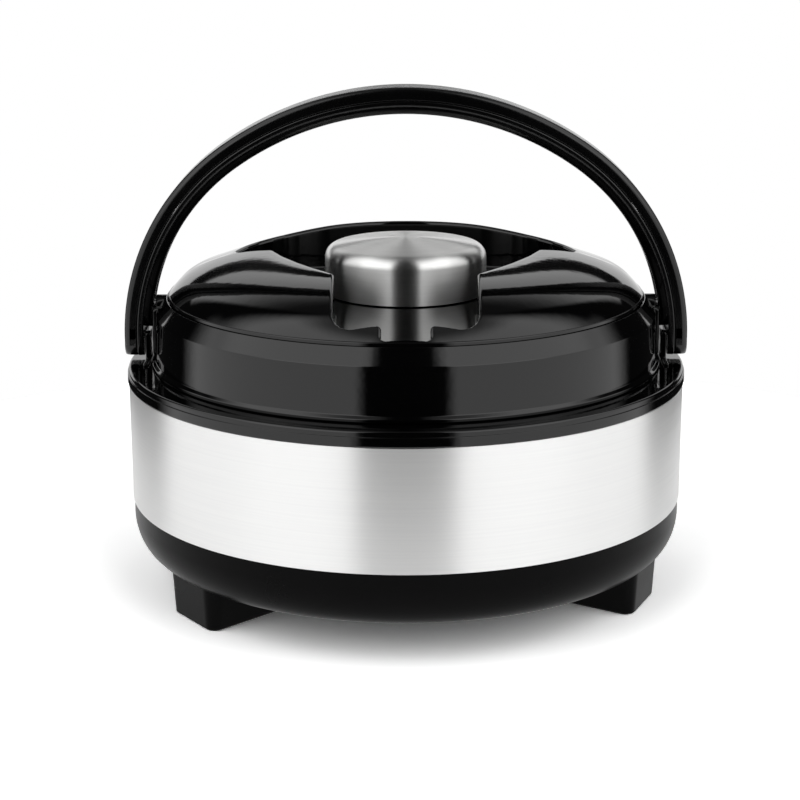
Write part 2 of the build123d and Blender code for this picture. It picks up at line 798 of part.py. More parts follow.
# Handle cap: outer strip with a tongue in the bail's slot, set in a little from its sides
with BuildPart() as handle_cap:
    with BuildSketch(leg_plane) as cap_section:
        with Locations((fit_gap, 0)):
            Rectangle(
                handle_cap_thickness - fit_gap,
                handle_depth - 2 * handle_cap_inset,
                align=(Align.MIN, Align.CENTER),
            )
        cap_corners = cap_section.vertices().group_by(Axis.X)
        fillet(cap_corners[0], handle_seam_round)
        fillet(cap_corners[-1], handle_outer_round)
        with Locations((fit_gap, 0)):
            Rectangle(
                handle_tongue_depth,
                handle_tongue_width - 2 * fit_gap,
                align=(Align.MAX, Align.CENTER),
            )
    sweep(path=arch_path())
    add(leg_end_waste.part, mode=Mode.SUBTRACT)
keep(handle_cap, "handle_cap")
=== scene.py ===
# %% [markdown]
# An insulated casserole dish: a steel-banded body on three feet, a gloss black lid with a steel
# knob in a finger pocket, and a bail handle that swings over it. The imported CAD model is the
# frame. It says where every piece is, and this script dresses it.

import bmesh
import bpy
import numpy as np
from mathutils import Matrix, Vector


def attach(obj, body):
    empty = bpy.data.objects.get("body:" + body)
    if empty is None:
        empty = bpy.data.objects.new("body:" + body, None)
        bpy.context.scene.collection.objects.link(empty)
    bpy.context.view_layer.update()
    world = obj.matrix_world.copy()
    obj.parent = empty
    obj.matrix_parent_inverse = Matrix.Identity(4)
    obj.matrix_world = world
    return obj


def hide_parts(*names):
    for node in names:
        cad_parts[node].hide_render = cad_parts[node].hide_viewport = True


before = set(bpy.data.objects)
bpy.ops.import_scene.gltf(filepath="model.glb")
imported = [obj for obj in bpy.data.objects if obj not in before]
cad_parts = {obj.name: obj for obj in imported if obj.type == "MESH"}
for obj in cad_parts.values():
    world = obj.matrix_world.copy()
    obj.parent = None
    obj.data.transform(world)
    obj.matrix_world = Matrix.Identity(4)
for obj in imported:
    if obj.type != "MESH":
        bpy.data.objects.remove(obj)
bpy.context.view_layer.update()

# %% [markdown]
# Every new piece is a grid of points: rows in one direction, columns in the other. Four
# neighbours make a quad, and a grid that closes on itself gets one more strip of quads. A grid can
# also shrink to one point, as at the middle of a turned dish, so doubles are merged at the end.
# Lengths are written in millimetres, as on a drawing, and turned into metres in one place.

# %% From grids of points to a piece
millimetre = 0.001
merge_distance = 2e-7
sharp_angle = np.radians(38)


def quads_of(rows, columns, wrap_rows, wrap_columns):
    """Corner numbers of the quads between neighbours of a grid numbered row by row."""
    number = np.arange(rows * columns).reshape(rows, columns)
    if wrap_rows:
        number = np.vstack([number, number[:1]])
    if wrap_columns:
        number = np.hstack([number, number[:, :1]])
    corners = (number[:-1, :-1], number[1:, :-1], number[1:, 1:], number[:-1, 1:])
    return np.stack(corners, axis=-1).reshape(-1, 4)


def joined(grids):
    """Points and quads of several grids, numbered on from each other."""
    points, quads, count = [], [], 0
    for grid, wrap_rows, wrap_columns in grids:
        rows, columns = grid.shape[:2]
        points.append(grid.reshape(-1, 3))
        quads.append(quads_of(rows, columns, wrap_rows, wrap_columns) + count)
        count += rows * columns
    return np.concatenate(points), np.concatenate(quads)


def add_piece(name, grids, finish, body, nodes):
    """Make one mesh of grids, close its seams and poles, and hang it on its CAD body."""
    points, quads = joined(grids)
    mesh = bpy.data.meshes.new(name)
    mesh.vertices.add(len(points))
    mesh.vertices.foreach_set("co", (points * millimetre).astype(np.float32).ravel())
    mesh.loops.add(quads.size)
    mesh.loops.foreach_set("vertex_index", quads.ravel())
    mesh.polygons.add(len(quads))
    mesh.polygons.foreach_set("loop_start", np.arange(0, quads.size, 4))
    mesh.update(calc_edges=True)
    work = bmesh.new()
    work.from_mesh(mesh)
    bmesh.ops.remove_doubles(work, verts=work.verts, dist=merge_distance)
    bmesh.ops.dissolve_degenerate(work, edges=work.edges, dist=merge_distance)
    loose = [edge for edge in work.edges if edge.is_wire]
    bmesh.ops.delete(work, geom=loose, context="EDGES")
    bmesh.ops.recalc_face_normals(work, faces=work.faces)
    open_edges = sum(not edge.is_manifold for edge in work.edges)
    work.to_mesh(mesh)
    work.free()
    mesh.shade_smooth()
    mesh.set_sharp_from_angle(angle=sharp_angle)
    mesh.materials.append(finish)
    piece = bpy.data.objects.new(name, mesh)
    bpy.context.scene.collection.objects.link(piece)
    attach(piece, body)
    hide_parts(*nodes)
    print(name, len(mesh.polygons), "faces,", open_edges, "open edges")
    return piece


print("a grid of 3 by 4 points has", len(quads_of(3, 4, False, False)), "quads")

# %% [markdown]
# Most of the dish is turned, so it starts as half a section. A section is written as its corner
# points and the radius of each corner. A corner is rounded by the arc that touches both of its
# sides, and a point is kept close before and after each arc, so that the flat between two arcs is
# shaded flat. The section is then carried round the upright axis.

# %% Rounded sections, and turning them
arc_steps = 8
turn_steps = 240
lead_in = 0.35
lead_share = 0.04
side_share = 0.45


def rounded(corners, radii):
    """Closed outline with every corner replaced by an arc that touches both of its sides.

    With a turn of angle t at a corner, the arc starts r tan(t/2) before it, and its points go
    round the centre that lies r / cos(t/2) from the corner, on the inner side of the turn.
    """
    corners = np.asarray(corners, float)
    radii = np.asarray(radii, float)[:, None]
    along_in = corners - np.roll(corners, 1, axis=0)
    along_out = np.roll(corners, -1, axis=0) - corners
    room = np.minimum(np.linalg.norm(along_in, axis=1), np.linalg.norm(along_out, axis=1))
    along_in /= np.linalg.norm(along_in, axis=1, keepdims=True)
    along_out /= np.linalg.norm(along_out, axis=1, keepdims=True)
    cross = along_in[:, 0] * along_out[:, 1] - along_in[:, 1] * along_out[:, 0]
    turn = np.arctan2(cross, np.sum(along_in * along_out, axis=1))[:, None]
    setback = np.minimum(radii * np.abs(np.tan(turn / 2)), side_share * room[:, None])
    radii = setback / np.maximum(np.abs(np.tan(turn / 2)), 1e-9)
    inward = np.sign(turn) * np.stack([-along_in[:, 1], along_in[:, 0]], axis=1)
    start = corners - setback * along_in
    centre = start + radii * inward
    swing = turn * np.linspace(0, 1, arc_steps + 1)[None, :]
    cosine, sine = np.cos(swing)[..., None], np.sin(swing)[..., None]
    spoke = (start - centre)[:, None, :]
    turned_spoke = np.concatenate([-spoke[..., 1:], spoke[..., :1]], axis=-1)
    arcs = centre[:, None, :] + cosine * spoke + sine * turned_spoke
    lead = np.minimum(lead_in, lead_share * room)[:, None, None]
    before = arcs[:, :1] - lead * along_in[:, None, :]
    after = arcs[:, -1:] + lead * along_out[:, None, :]
    return np.concatenate([before, arcs, after], axis=1).reshape(-1, 2)


def turned(section):
    """Carry a section round the axis: x = r cos(a), y = r sin(a), z = its height."""
    angle = np.linspace(0, 2 * np.pi, turn_steps, endpoint=False)[:, None]
    radius, height = section[None, :, 0], section[None, :, 1]
    flat = np.broadcast_to(height, (turn_steps, section.shape[0]))
    return np.stack([radius * np.cos(angle), radius * np.sin(angle), flat], axis=-1)


def quarter_ellipse(centre, wide, high, steps=24):
    """Points from straight below an ellipse's centre round to its right-hand side."""
    angle = np.linspace(-np.pi / 2, 0, steps)
    return np.stack([centre[0] + wide * np.cos(angle), centre[1] + high * np.sin(angle)], axis=-1)


print("a rounded corner has", arc_steps + 3, "points, and a turn has", turn_steps, "steps")

# %% [markdown]
# Two effects are used by more than one finish, so each is a node group with named sockets. The
# first is the grain of brushed or spun steel: long fine scratches that run round the axis. Noise
# is stretched along the scratches by reading it at (angle, height, radius) instead of (x, y, z).

# %% A node group for brushed steel
def new_group(name, inputs, outputs):
    """An empty shader node group with number sockets, and its two end nodes."""
    group = bpy.data.node_groups.new(name, "ShaderNodeTree")
    for label, value in inputs:
        socket = group.interface.new_socket(label, in_out="INPUT", socket_type="NodeSocketFloat")
        socket.default_value = value
    for label in outputs:
        group.interface.new_socket(label, in_out="OUTPUT", socket_type="NodeSocketFloat")
    return group, group.nodes.new("NodeGroupInput"), group.nodes.new("NodeGroupOutput")


def math_node(group, operation, first, second):
    """A Math node whose two inputs are sockets or plain numbers."""
    node = group.nodes.new("ShaderNodeMath")
    node.operation = operation
    for socket, value in zip(node.inputs, (first, second)):
        if isinstance(value, (int, float)):
            socket.default_value = value
        else:
            group.links.new(value, socket)
    return node.outputs[0]


def noise_node(group, vector, scale, detail):
    """A Noise Texture read at a vector, whose scale is a socket or a plain number."""
    node = group.nodes.new("ShaderNodeTexNoise")
    node.inputs["Detail"].default_value = detail
    group.links.new(vector, node.inputs["Vector"])
    if isinstance(scale, (int, float)):
        node.inputs["Scale"].default_value = scale
    else:
        group.links.new(scale, node.inputs["Scale"])
    return node.outputs["Fac"]


brushing, ends_in, ends_out = new_group(
    "brushed_round_axis",
    [("Along", 3.0), ("Across", 2600.0), ("Broad Across", 320.0)],
    ["Grain", "Broad"],
)
place = brushing.nodes.new("ShaderNodeTexCoord")
split = brushing.nodes.new("ShaderNodeSeparateXYZ")
brushing.links.new(place.outputs["Object"], split.inputs[0])
bearing = math_node(brushing, "ARCTAN2", split.outputs["Y"], split.outputs["X"])
square_x = math_node(brushing, "MULTIPLY", split.outputs["X"], split.outputs["X"])
square_y = math_node(brushing, "MULTIPLY", split.outputs["Y"], split.outputs["Y"])
radius_out = math_node(brushing, "SQRT", math_node(brushing, "ADD", square_x, square_y), 0.0)
for label, across in (("Grain", "Across"), ("Broad", "Broad Across")):
    stretch = brushing.nodes.new("ShaderNodeCombineXYZ")
    readings = ((bearing, "Along"), (split.outputs["Z"], across), (radius_out, across))
    for (reading, factor), axis in zip(readings, "XYZ"):
        scaled = math_node(brushing, "MULTIPLY", reading, ends_in.outputs[factor])
        brushing.links.new(scaled, stretch.inputs[axis])
    fac = noise_node(brushing, stretch.outputs[0], scale=1.0, detail=3.0)
    brushing.links.new(fac, ends_out.inputs[label])
print("group", brushing.name)

# %% [markdown]
# The second effect is the skin of moulded plastic: a faint waviness, called orange peel, and
# patches that are a little duller where the mould was less polished or hands have been.

# %% A node group for moulded skin
moulding, ends_in, ends_out = new_group(
    "moulded_skin", [("Peel Scale", 350.0), ("Patch Scale", 22.0)], ["Peel", "Patch"]
)
place = moulding.nodes.new("ShaderNodeTexCoord")
for label, scale, detail in (("Peel", "Peel Scale", 1.0), ("Patch", "Patch Scale", 4.0)):
    fac = noise_node(moulding, place.outputs["Object"], ends_in.outputs[scale], detail)
    moulding.links.new(fac, ends_out.inputs[label])
print("group", moulding.name)

# %% [markdown]
# A finish is a Principled shader. What varies over the surface comes from the groups: the colour
# mixes between two shades, the roughness moves in a range, and the height of the grain or the
# peel goes through a Bump node. What is the same all over is set on the shader's own sockets.

# %% Helpers for finishes
noise_range = (0.25, 0.75)


def new_finish(name, group, values):
    """A material with a Principled shader and one effect group placed in it."""
    finish = bpy.data.materials.new(name)
    finish.use_nodes = True
    shader = finish.node_tree.nodes["Principled BSDF"]
    effect = finish.node_tree.nodes.new("ShaderNodeGroup")
    effect.node_tree = group
    for label, value in values.items():
        effect.inputs[label].default_value = value
    return finish, shader, effect


def shade_between(finish, fac, dark, pale, socket):
    """Mix two colours by a mask that varies over the surface, into a colour socket."""
    mix = finish.node_tree.nodes.new("ShaderNodeMix")
    mix.data_type = "RGBA"
    mix.inputs["A"].default_value = (*dark, 1)
    mix.inputs["B"].default_value = (*pale, 1)
    finish.node_tree.links.new(fac, mix.inputs["Factor"])
    finish.node_tree.links.new(mix.outputs["Result"], socket)


def range_between(finish, fac, low, high, socket):
    """Stretch a mask's usual range to a range of values, into a number socket."""
    span = finish.node_tree.nodes.new("ShaderNodeMapRange")
    span.inputs["From Min"].default_value = noise_range[0]
    span.inputs["From Max"].default_value = noise_range[1]
    span.inputs["To Min"].default_value = low
    span.inputs["To Max"].default_value = high
    finish.node_tree.links.new(fac, span.inputs["Value"])
    finish.node_tree.links.new(span.outputs["Result"], socket)


def bump_from(finish, shader, height, strength, distance):
    """Send a height that varies over the surface through a Bump node to the shader's normal."""
    bump = finish.node_tree.nodes.new("ShaderNodeBump")
    bump.inputs["Strength"].default_value = strength
    bump.inputs["Distance"].default_value = distance
    finish.node_tree.links.new(height, bump.inputs["Height"])
    finish.node_tree.links.new(bump.outputs["Normal"], shader.inputs["Normal"])


print("masks from noise are taken between", *noise_range)

# %% [markdown]
# The band and the knob are brushed round the axis. Such a surface smears reflections across the
# scratches, so bright panels on either side show as upright stripes. That smear is anisotropy,
# and the tangent that it needs runs round the axis too. A quarter turn of it makes the smear run
# across the scratches. The bowl and the liner are polished further, so they are smoother.

# %% Steel finishes
scratch_depth = 0.00002
quarter_turn = 0.25
broad_share = 5


def steel_finish(name, dark, pale, rough, smear, along, across, strength):
    """Brushed or spun steel: grain in the colour, the roughness and the bump."""
    values = {"Along": along, "Across": across, "Broad Across": across / broad_share}
    finish, shader, effect = new_finish(name, brushing, values)
    shader.inputs["Metallic"].default_value = 1.0
    shader.inputs["Anisotropic"].default_value = smear
    shader.inputs["Anisotropic Rotation"].default_value = quarter_turn
    shade_between(finish, effect.outputs["Broad"], dark, pale, shader.inputs["Base Color"])
    range_between(finish, effect.outputs["Grain"], *rough, shader.inputs["Roughness"])
    bump_from(finish, shader, effect.outputs["Grain"], strength, scratch_depth)
    tangent = finish.node_tree.nodes.new("ShaderNodeTangent")
    tangent.direction_type = "RADIAL"
    tangent.axis = "Z"
    finish.node_tree.links.new(tangent.outputs[0], shader.inputs["Tangent"])
    return finish


band_steel = steel_finish(
    "band_steel", (0.76, 0.76, 0.76), (0.83, 0.83, 0.82),
    rough=(0.30, 0.38), smear=0.9, along=1.5, across=6000.0, strength=0.4,
)
knob_steel = steel_finish(
    "knob_steel", (0.70, 0.70, 0.69), (0.80, 0.80, 0.79),
    rough=(0.28, 0.35), smear=0.96, along=1.5, across=7000.0, strength=0.4,
)
bowl_steel = steel_finish(
    "bowl_steel", (0.66, 0.66, 0.65), (0.76, 0.76, 0.75),
    rough=(0.12, 0.22), smear=0.4, along=2.0, across=1500.0, strength=0.3,
)
fastener_steel = steel_finish(
    "fastener_steel", (0.48, 0.48, 0.48), (0.62, 0.62, 0.62),
    rough=(0.28, 0.42), smear=0.0, along=6.0, across=3000.0, strength=0.4,
)
print("steel finishes", band_steel.name, knob_steel.name, bowl_steel.name, fastener_steel.name)

# %% [markdown]
# The lid and the collar are moulded in a black plastic from a polished tool, so they reflect like
# dark glass. The handle is nearly as glossy, and the base and the feet come from an eroded tool
# and are satin. All three share the moulded skin, with their own scale and depth.


# %% Plastic finishes
def plastic_finish(name, dark, pale, rough, peel, patch, strength, depth, shine=0.5):
    """Moulded plastic: patches in the colour and the roughness, peel in the bump."""
    finish, shader, effect = new_finish(name, moulding, {"Peel Scale": peel, "Patch Scale": patch})
    shader.inputs["Specular IOR Level"].default_value = shine
    shade_between(finish, effect.outputs["Patch"], dark, pale, shader.inputs["Base Color"])
    range_between(finish, effect.outputs["Patch"], *rough, shader.inputs["Roughness"])
    bump_from(finish, shader, effect.outputs["Peel"], strength, depth)
    return finish


gloss_black = plastic_finish(
    "gloss_black", (0.0004, 0.0004, 0.0005), (0.0009, 0.0009, 0.001),
    rough=(0.04, 0.09), peel=260.0, patch=26.0, strength=0.10, depth=0.0002,
)
handle_black = plastic_finish(
    "handle_black", (0.0006, 0.0006, 0.0007), (0.0012, 0.0012, 0.0013),
    rough=(0.14, 0.22), peel=420.0, patch=34.0, strength=0.15, depth=0.0002, shine=0.45,
)
satin_black = plastic_finish(
    "satin_black", (0.0006, 0.0006, 0.0007), (0.0014, 0.0014, 0.0015),
    rough=(0.26, 0.36), peel=1500.0, patch=30.0, strength=0.25, depth=0.0001, shine=0.06,
)
print("plastic finishes", gloss_black.name, handle_black.name, satin_black.name)

# %% [markdown]
# Foam and brass show only in a cut-away, and still get a finish of their own: the foam has cells,
# which the moulded skin gives at a larger scale, and the brass insert is turned on a lathe.

# %% Foam and brass
foam_cells = plastic_finish(
    "foam", (0.80, 0.72, 0.50), (0.90, 0.85, 0.66),
    rough=(0.85, 0.98), peel=900.0, patch=60.0, strength=0.6, depth=0.0006,
)
insert_brass = steel_finish(
    "insert_brass", (0.62, 0.44, 0.18), (0.74, 0.56, 0.26),
    rough=(0.25, 0.38), smear=0.0, along=6.0, across=2500.0, strength=0.4,
)
carried_over = {
    "body_foam": foam_cells,
    "lid_foam": foam_cells,
    "foam_plug": satin_black,
    "foot_screws": fastener_steel,
    "knob_core": satin_black,
    "knob_insert": insert_brass,
    "knob_screw": fastener_steel,
    "knob_washer": fastener_steel,
    "pivot_pin_left": fastener_steel,
    "pivot_pin_right": fastener_steel,
}
for node, finish in carried_over.items():
    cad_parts[node].data.materials.clear()
    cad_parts[node].data.materials.append(finish)
print("CAD nodes kept with new finishes:", len(carried_over))

# %% [markdown]
# The band is a strip of thin stainless sheet wrapped round the wall. Its two edges are rolled a
# little so that they do not cut, and they catch the light as fine lines.

# %% Steel band
band_radius = 115.0
band_sheet = 0.6
band_bottom = 38.7
band_top = 87.5
band_edge = 0.28
band_section = rounded(
    [
        (band_radius - band_sheet, band_bottom),
        (band_radius, band_bottom),
        (band_radius, band_top),
        (band_radius - band_sheet, band_top),
    ],
    [0, band_edge, band_edge, 0],
)
band_grids = [(turned(band_section), True, True)]
add_piece("band", band_grids, band_steel, "body", ["steel_band"])

# %% [markdown]
# The base is one moulding. From its flat underside it rounds up as a quarter ellipse to an upright
# side, steps in under the band and carries on as the wall behind it. The outer and the inner line
# are one closed section.

# %% Moulded base
base_radius = 114.5
base_flat = 102.6
base_underside = 15.7
base_round_top = 32.2
base_wall = 2.5
fill_hole = 8.0
wall_radius = 114.3
base_edge = 0.6
curve_centre = (base_flat, base_round_top)
curve_height = base_round_top - base_underside
outer_curve = quarter_ellipse(curve_centre, base_radius - base_flat, curve_height)
inner_reach = wall_radius - base_wall - base_flat
inner_curve = quarter_ellipse(curve_centre, inner_reach, curve_height - base_wall)
side_edge = rounded(
    [
        (base_radius, base_round_top),
        (base_radius, band_bottom),
        (wall_radius, band_bottom),
        (wall_radius, band_top),
        (wall_radius - base_wall, band_top),
        (wall_radius - base_wall, base_round_top),
    ],
    [0, base_edge, 0, 0, 0, 0],
)
underside = np.array([(fill_hole, base_underside + base_wall), (fill_hole, base_underside)])
base_section = np.concatenate([underside, outer_curve, side_edge[1:-1], inner_curve[::-1]])
base_grids = [(turned(base_section), True, True)]
add_piece("base", base_grids, satin_black, "body", ["outer_body"])

# %% [markdown]
# Each foot is a drafted wedge with rounded corners that grows wider towards the base, and stops on
# it. Its surface is a grid: round its outline in one direction, and from the screw's recess over
# the sole and up the side in the other. The height where a side meets the base depends on how far
# out it has leaned by then, so it is found by repeating the sum a few times.

# %% Feet
foot_bearings = {"foot_left": 216.0, "foot_right": 336.0, "foot_rear": 96.0}
foot_outer = 106.1
foot_inner = 61.6
foot_width = 32.0
foot_corner = 4.0
foot_flare = 1.9
foot_chamfer = 0.6
screw_place = 79.6
recess_radius = 3.7
recess_depth = 8.0
foot_points = 160
lean_rounds = 8
side_rows = (0.1, 0.5, 0.9, 1.0)


def base_height(radius):
    """Underside of the base: flat inside, then a quarter ellipse."""
    share = np.clip((radius - base_flat) / (base_radius - base_flat), 0, 1)
    return base_round_top - (base_round_top - base_underside) * np.sqrt(1 - share**2)


def spaced(outline, count):
    """The same closed outline with points at equal steps along it."""
    closed = np.vstack([outline, outline[:1]])
    step = np.linalg.norm(np.diff(closed, axis=0), axis=1)
    run = np.concatenate([[0], np.cumsum(step)])
    at = np.linspace(0, run[-1], count, endpoint=False)
    return np.stack([np.interp(at, run, closed[:, i]) for i in (0, 1)], axis=-1)


def outward_of(outline):
    """Unit normals of a closed outline that goes round anticlockwise."""
    tangent = np.roll(outline, -1, axis=0) - np.roll(outline, 1, axis=0)
    tangent /= np.linalg.norm(tangent, axis=1, keepdims=True)
    return np.stack([tangent[:, 1], -tangent[:, 0]], axis=-1)


def foot_grid(bearing):
    """Rows of a foot from its recess to its top, each a ring about the screw."""
    inner_half = foot_width * foot_inner / foot_outer / 2
    corners = [
        (foot_inner, -inner_half),
        (foot_outer, -foot_width / 2),
        (foot_outer, foot_width / 2),
        (foot_inner, inner_half),
    ]
    plan = spaced(rounded(corners, [foot_corner] * 4), foot_points)
    normal = outward_of(plan)
    spoke = plan - (screw_place, 0)
    circle = spoke / np.linalg.norm(spoke, axis=1, keepdims=True) * recess_radius + (screw_place, 0)
    lean = foot_flare / base_round_top
    top = np.full(len(plan), base_underside)
    for _ in range(lean_rounds):
        reach = np.linalg.norm(plan + lean * top[:, None] * normal, axis=1)
        top = base_height(reach)
    middle = np.full_like(plan, 0) + (screw_place, 0)
    rows = [(middle, recess_depth), (circle, recess_depth), (circle, 0)]
    rows += [(plan - foot_chamfer * normal, 0), (plan + lean * foot_chamfer * normal, foot_chamfer)]
    for share in side_rows:
        height = foot_chamfer + share * (top - foot_chamfer)
        rows.append((plan + lean * height[:, None] * normal, height))
    rows.append((middle, base_underside))
    heights = [np.broadcast_to(height, len(plan)) for _, height in rows]
    grid = np.stack([np.column_stack([ring, height]) for (ring, _), height in zip(rows, heights)])
    turn = np.radians(bearing)
    spin = np.array([[np.cos(turn), np.sin(turn), 0], [-np.sin(turn), np.cos(turn), 0], [0, 0, 1]])
    return grid @ spin


for node, bearing in foot_bearings.items():
    foot_grids = [(foot_grid(bearing), False, True)]
    add_piece(node + "_wedge", foot_grids, satin_black, "body", [node])

# %% [markdown]
# The collar is the gloss black ring that closes the wall at the top. It overhangs the band by less
# than a millimetre, steps in above its lower lip and has a rounded top edge. The bowl hangs in a
# rebate on its inner side.

# %% Section of the collar
collar_radius = 115.4
collar_top = 93.7
collar_lip = 91.4
collar_step = 0.5
flange_radius = 102.3
ledge_height = 92.1
bowl_side = 95.3
web = 3.0
plug_radius = 111.7
plug_wall = 2.4
plug_depth = 10.0
collar_section = rounded(
    [
        (plug_radius, band_top),
        (collar_radius, band_top),
        (collar_radius, collar_lip),
        (collar_radius - collar_step, collar_lip),
        (collar_radius - collar_step, collar_top),
        (flange_radius, collar_top),
        (flange_radius, ledge_height),
        (bowl_side, ledge_height),
        (bowl_side, ledge_height - web),
        (flange_radius + plug_wall, ledge_height - web),
        (flange_radius + plug_wall, collar_top - web),
        (plug_radius - plug_wall, collar_top - web),
        (plug_radius - plug_wall, band_top - plug_depth),
        (plug_radius, band_top - plug_depth),
    ],
    [0, 0.5, 0.5, 0.3, 1.2, 0.4, 0, 0.3, 0, 0, 0, 0, 0, 0],
)
print("collar section", len(collar_section), "points")

# %% [markdown]
# On the left and right an upright keeper with a low curb stands on the collar, inside the handle's
# leg. It is an outline in y and z with some thickness along x, and its edges are rounded by drawing
# the outline in towards both faces.

# %% Collar with its keepers
keeper_inner = 105.8
keeper_outer = 107.8
keeper_half = 7.5
keeper_height = 12.5
curb_half = 17.0
curb_height = 1.0
keeper_edge = 0.35
keeper_sunk = 0.2
keeper_rounds = [0.1, 0.1, 0.5, 1.0, 2.0, 2.0, 1.0, 0.5]


def keeper_grid(side):
    """Rows across a keeper's thickness: its outline in y and z, drawn in at both faces."""
    foot = collar_top - keeper_sunk
    corners = [
        (-curb_half, foot),
        (curb_half, foot),
        (curb_half, collar_top + curb_height),
        (keeper_half, collar_top + curb_height),
        (keeper_half, collar_top + keeper_height),
        (-keeper_half, collar_top + keeper_height),
        (-keeper_half, collar_top + curb_height),
        (-curb_half, collar_top + curb_height),
    ]
    outline = rounded(corners, keeper_rounds)
    middle = np.array((0, collar_top + curb_height / 2))
    normal = outward_of(outline)
    turn = np.linspace(0, np.pi / 2, 5)
    draw = keeper_edge * (1 - np.sin(turn))
    rise = keeper_edge * (1 - np.cos(turn))
    draws = np.concatenate([draw, draw[::-1]])
    across = np.concatenate([keeper_inner + rise, keeper_outer - rise[::-1]])
    rings = outline[None] - draws[:, None, None] * normal[None]
    along = np.broadcast_to(across[:, None, None], rings.shape[:2] + (1,))
    points = np.concatenate([along, rings], axis=-1)
    cap = np.broadcast_to(np.append(0.0, middle), points[:1].shape).copy()
    first, last = cap.copy(), cap.copy()
    first[..., 0], last[..., 0] = keeper_inner, keeper_outer
    return np.concatenate([first, points, last]) * (side, 1, 1)


collar_grids = [(turned(collar_section), True, True)]
collar_grids += [(keeper_grid(side), False, True) for side in (-1, 1)]
add_piece("collar_ring", collar_grids, gloss_black, "body", ["collar"])

# %% [markdown]
# Under the lid there is a bowl pressed from sheet steel, with a round corner at its floor and a
# flat flange that lies in the collar's rebate.

# %% Food bowl
bowl_radius = 94.6
bowl_sheet = 0.6
bowl_floor = 27.8
bowl_corner = 20.0
bowl_flange = 102.2
bowl_rim = 92.7
corner_centre = (bowl_radius - bowl_corner, bowl_floor + bowl_corner)
inside = quarter_ellipse(corner_centre, bowl_corner, bowl_corner)
outside = quarter_ellipse(corner_centre, bowl_corner + bowl_sheet, bowl_corner + bowl_sheet)
rim_corner = rounded(
    [
        (bowl_radius + bowl_sheet, bowl_rim - bowl_sheet),
        (bowl_flange, bowl_rim - bowl_sheet),
        (bowl_flange, bowl_rim),
        (bowl_radius, bowl_rim),
        (bowl_radius, bowl_floor + bowl_corner),
    ],
    [0, 0.25, 0.25, 1.2, 0],
)
start_points = np.array([(0, bowl_floor), (0, bowl_floor - bowl_sheet)])
bowl_section = np.concatenate([start_points, outside, rim_corner[2:-1], inside[::-1]])
bowl_grids = [(turned(bowl_section), True, True)]
add_piece("food_bowl", bowl_grids, bowl_steel, "body", ["inner_bowl"])

# %% [markdown]
# The lid's skirt is a drafted wall with a bead at its foot and a bevel at its top. A narrow groove
# between the bevel and the dome is a dark line in the photograph.

# %% Section of the lid's skirt
lid_bottom = 93.9
skirt_radius = 103.0
skirt_foot = 104.0
skirt_wall = 2.2
bead_radius = 105.2
bead_height = 1.4
bead_slope = 1.2
bevel_bottom = 114.8
bevel_top = 121.2
seat_radius = 98.3
seat_height = 118.9
seat_edge = 0.3
ledge = 6.5
skirt_section = rounded(
    [
        (skirt_foot - skirt_wall, lid_bottom),
        (bead_radius, lid_bottom),
        (bead_radius, lid_bottom + bead_height),
        (skirt_foot, lid_bottom + bead_height + bead_slope),
        (skirt_radius, bevel_bottom),
        (seat_radius + seat_edge, bevel_top),
        (seat_radius, bevel_top),
        (seat_radius, seat_height),
        (seat_radius - ledge, seat_height),
        (seat_radius - ledge, seat_height - skirt_wall),
        (skirt_radius - 2 * skirt_wall, seat_height - skirt_wall),
        (skirt_radius - skirt_wall, bevel_bottom - skirt_wall),
    ],
    [0.3, 0.5, 0.5, 0.6, 0.9, 0.15, 0.1, 0, 0, 0, 0, 0],
)
print("skirt section", len(skirt_section), "points")

# %% [markdown]
# A round boss on each side of the skirt holds the pin that the handle swings on. It is a tube along
# x with a rounded end.

# %% Bosses
pivot_height = 116.5
boss_radius = 4.0
boss_end = 103.36
boss_root = 97.0
boss_edge = 0.4
boss_sides = 48


def boss_grid(side):
    """A tube along x: its radius shrinks round the edge of the outer end, then to the middle."""
    bend = np.linspace(0, np.pi / 2, 6)
    end_reach = boss_end - boss_edge + boss_edge * np.sin(bend)
    end_radius = boss_radius - boss_edge + boss_edge * np.cos(bend)
    reach = np.concatenate([[boss_root, boss_root], end_reach, [boss_end]])
    radius = np.concatenate([[0, boss_radius], end_radius, [0]])
    angle = np.linspace(0, 2 * np.pi, boss_sides, endpoint=False)
    along = np.broadcast_to(reach[:, None], (len(reach), len(angle)))
    y, z = radius[:, None] * np.cos(angle), pivot_height + radius[:, None] * np.sin(angle)
    return np.stack([side * along, y, z], axis=-1)


print("a boss has", boss_grid(1).shape[0], "rings")

# %% [markdown]
# Below each boss a flat pad fills the space beside the handle's leg, down to the bead, so that no
# light comes through there. It is a rectangle in y and z with rounded corners, drawn in round its
# outer edge.

# %% Lid skirt with its bosses and pads
pad_face = 105.0
pad_half = 5.0
pad_root = 101.0
pad_edge = 0.6
pad_bottom = lid_bottom + 2
pad_rounds = [1.0, 1.0, 3.0, 3.0]


def pad_grid(side):
    """Rows out from the wall: a rectangle in y and z that is drawn in round its outer edge."""
    corners = [(-pad_half, pad_bottom), (pad_half, pad_bottom)]
    corners += [(pad_half, pivot_height), (-pad_half, pivot_height)]
    outline = rounded(corners, pad_rounds)
    bend = np.linspace(0, np.pi / 2, 5)
    end_reach = pad_face - pad_edge * (1 - np.sin(bend))
    reach = np.concatenate([[pad_root, pad_root], end_reach, [pad_face]])
    draw = np.concatenate([[0, 0], pad_edge * (1 - np.cos(bend)), [0]])
    rings = outline[None] - draw[:, None, None] * outward_of(outline)[None]
    rings[0] = rings[-1] = outline.mean(axis=0)
    along = np.broadcast_to(reach[:, None, None], rings.shape[:2] + (1,))
    return np.concatenate([along, rings], axis=-1) * (side, 1, 1)


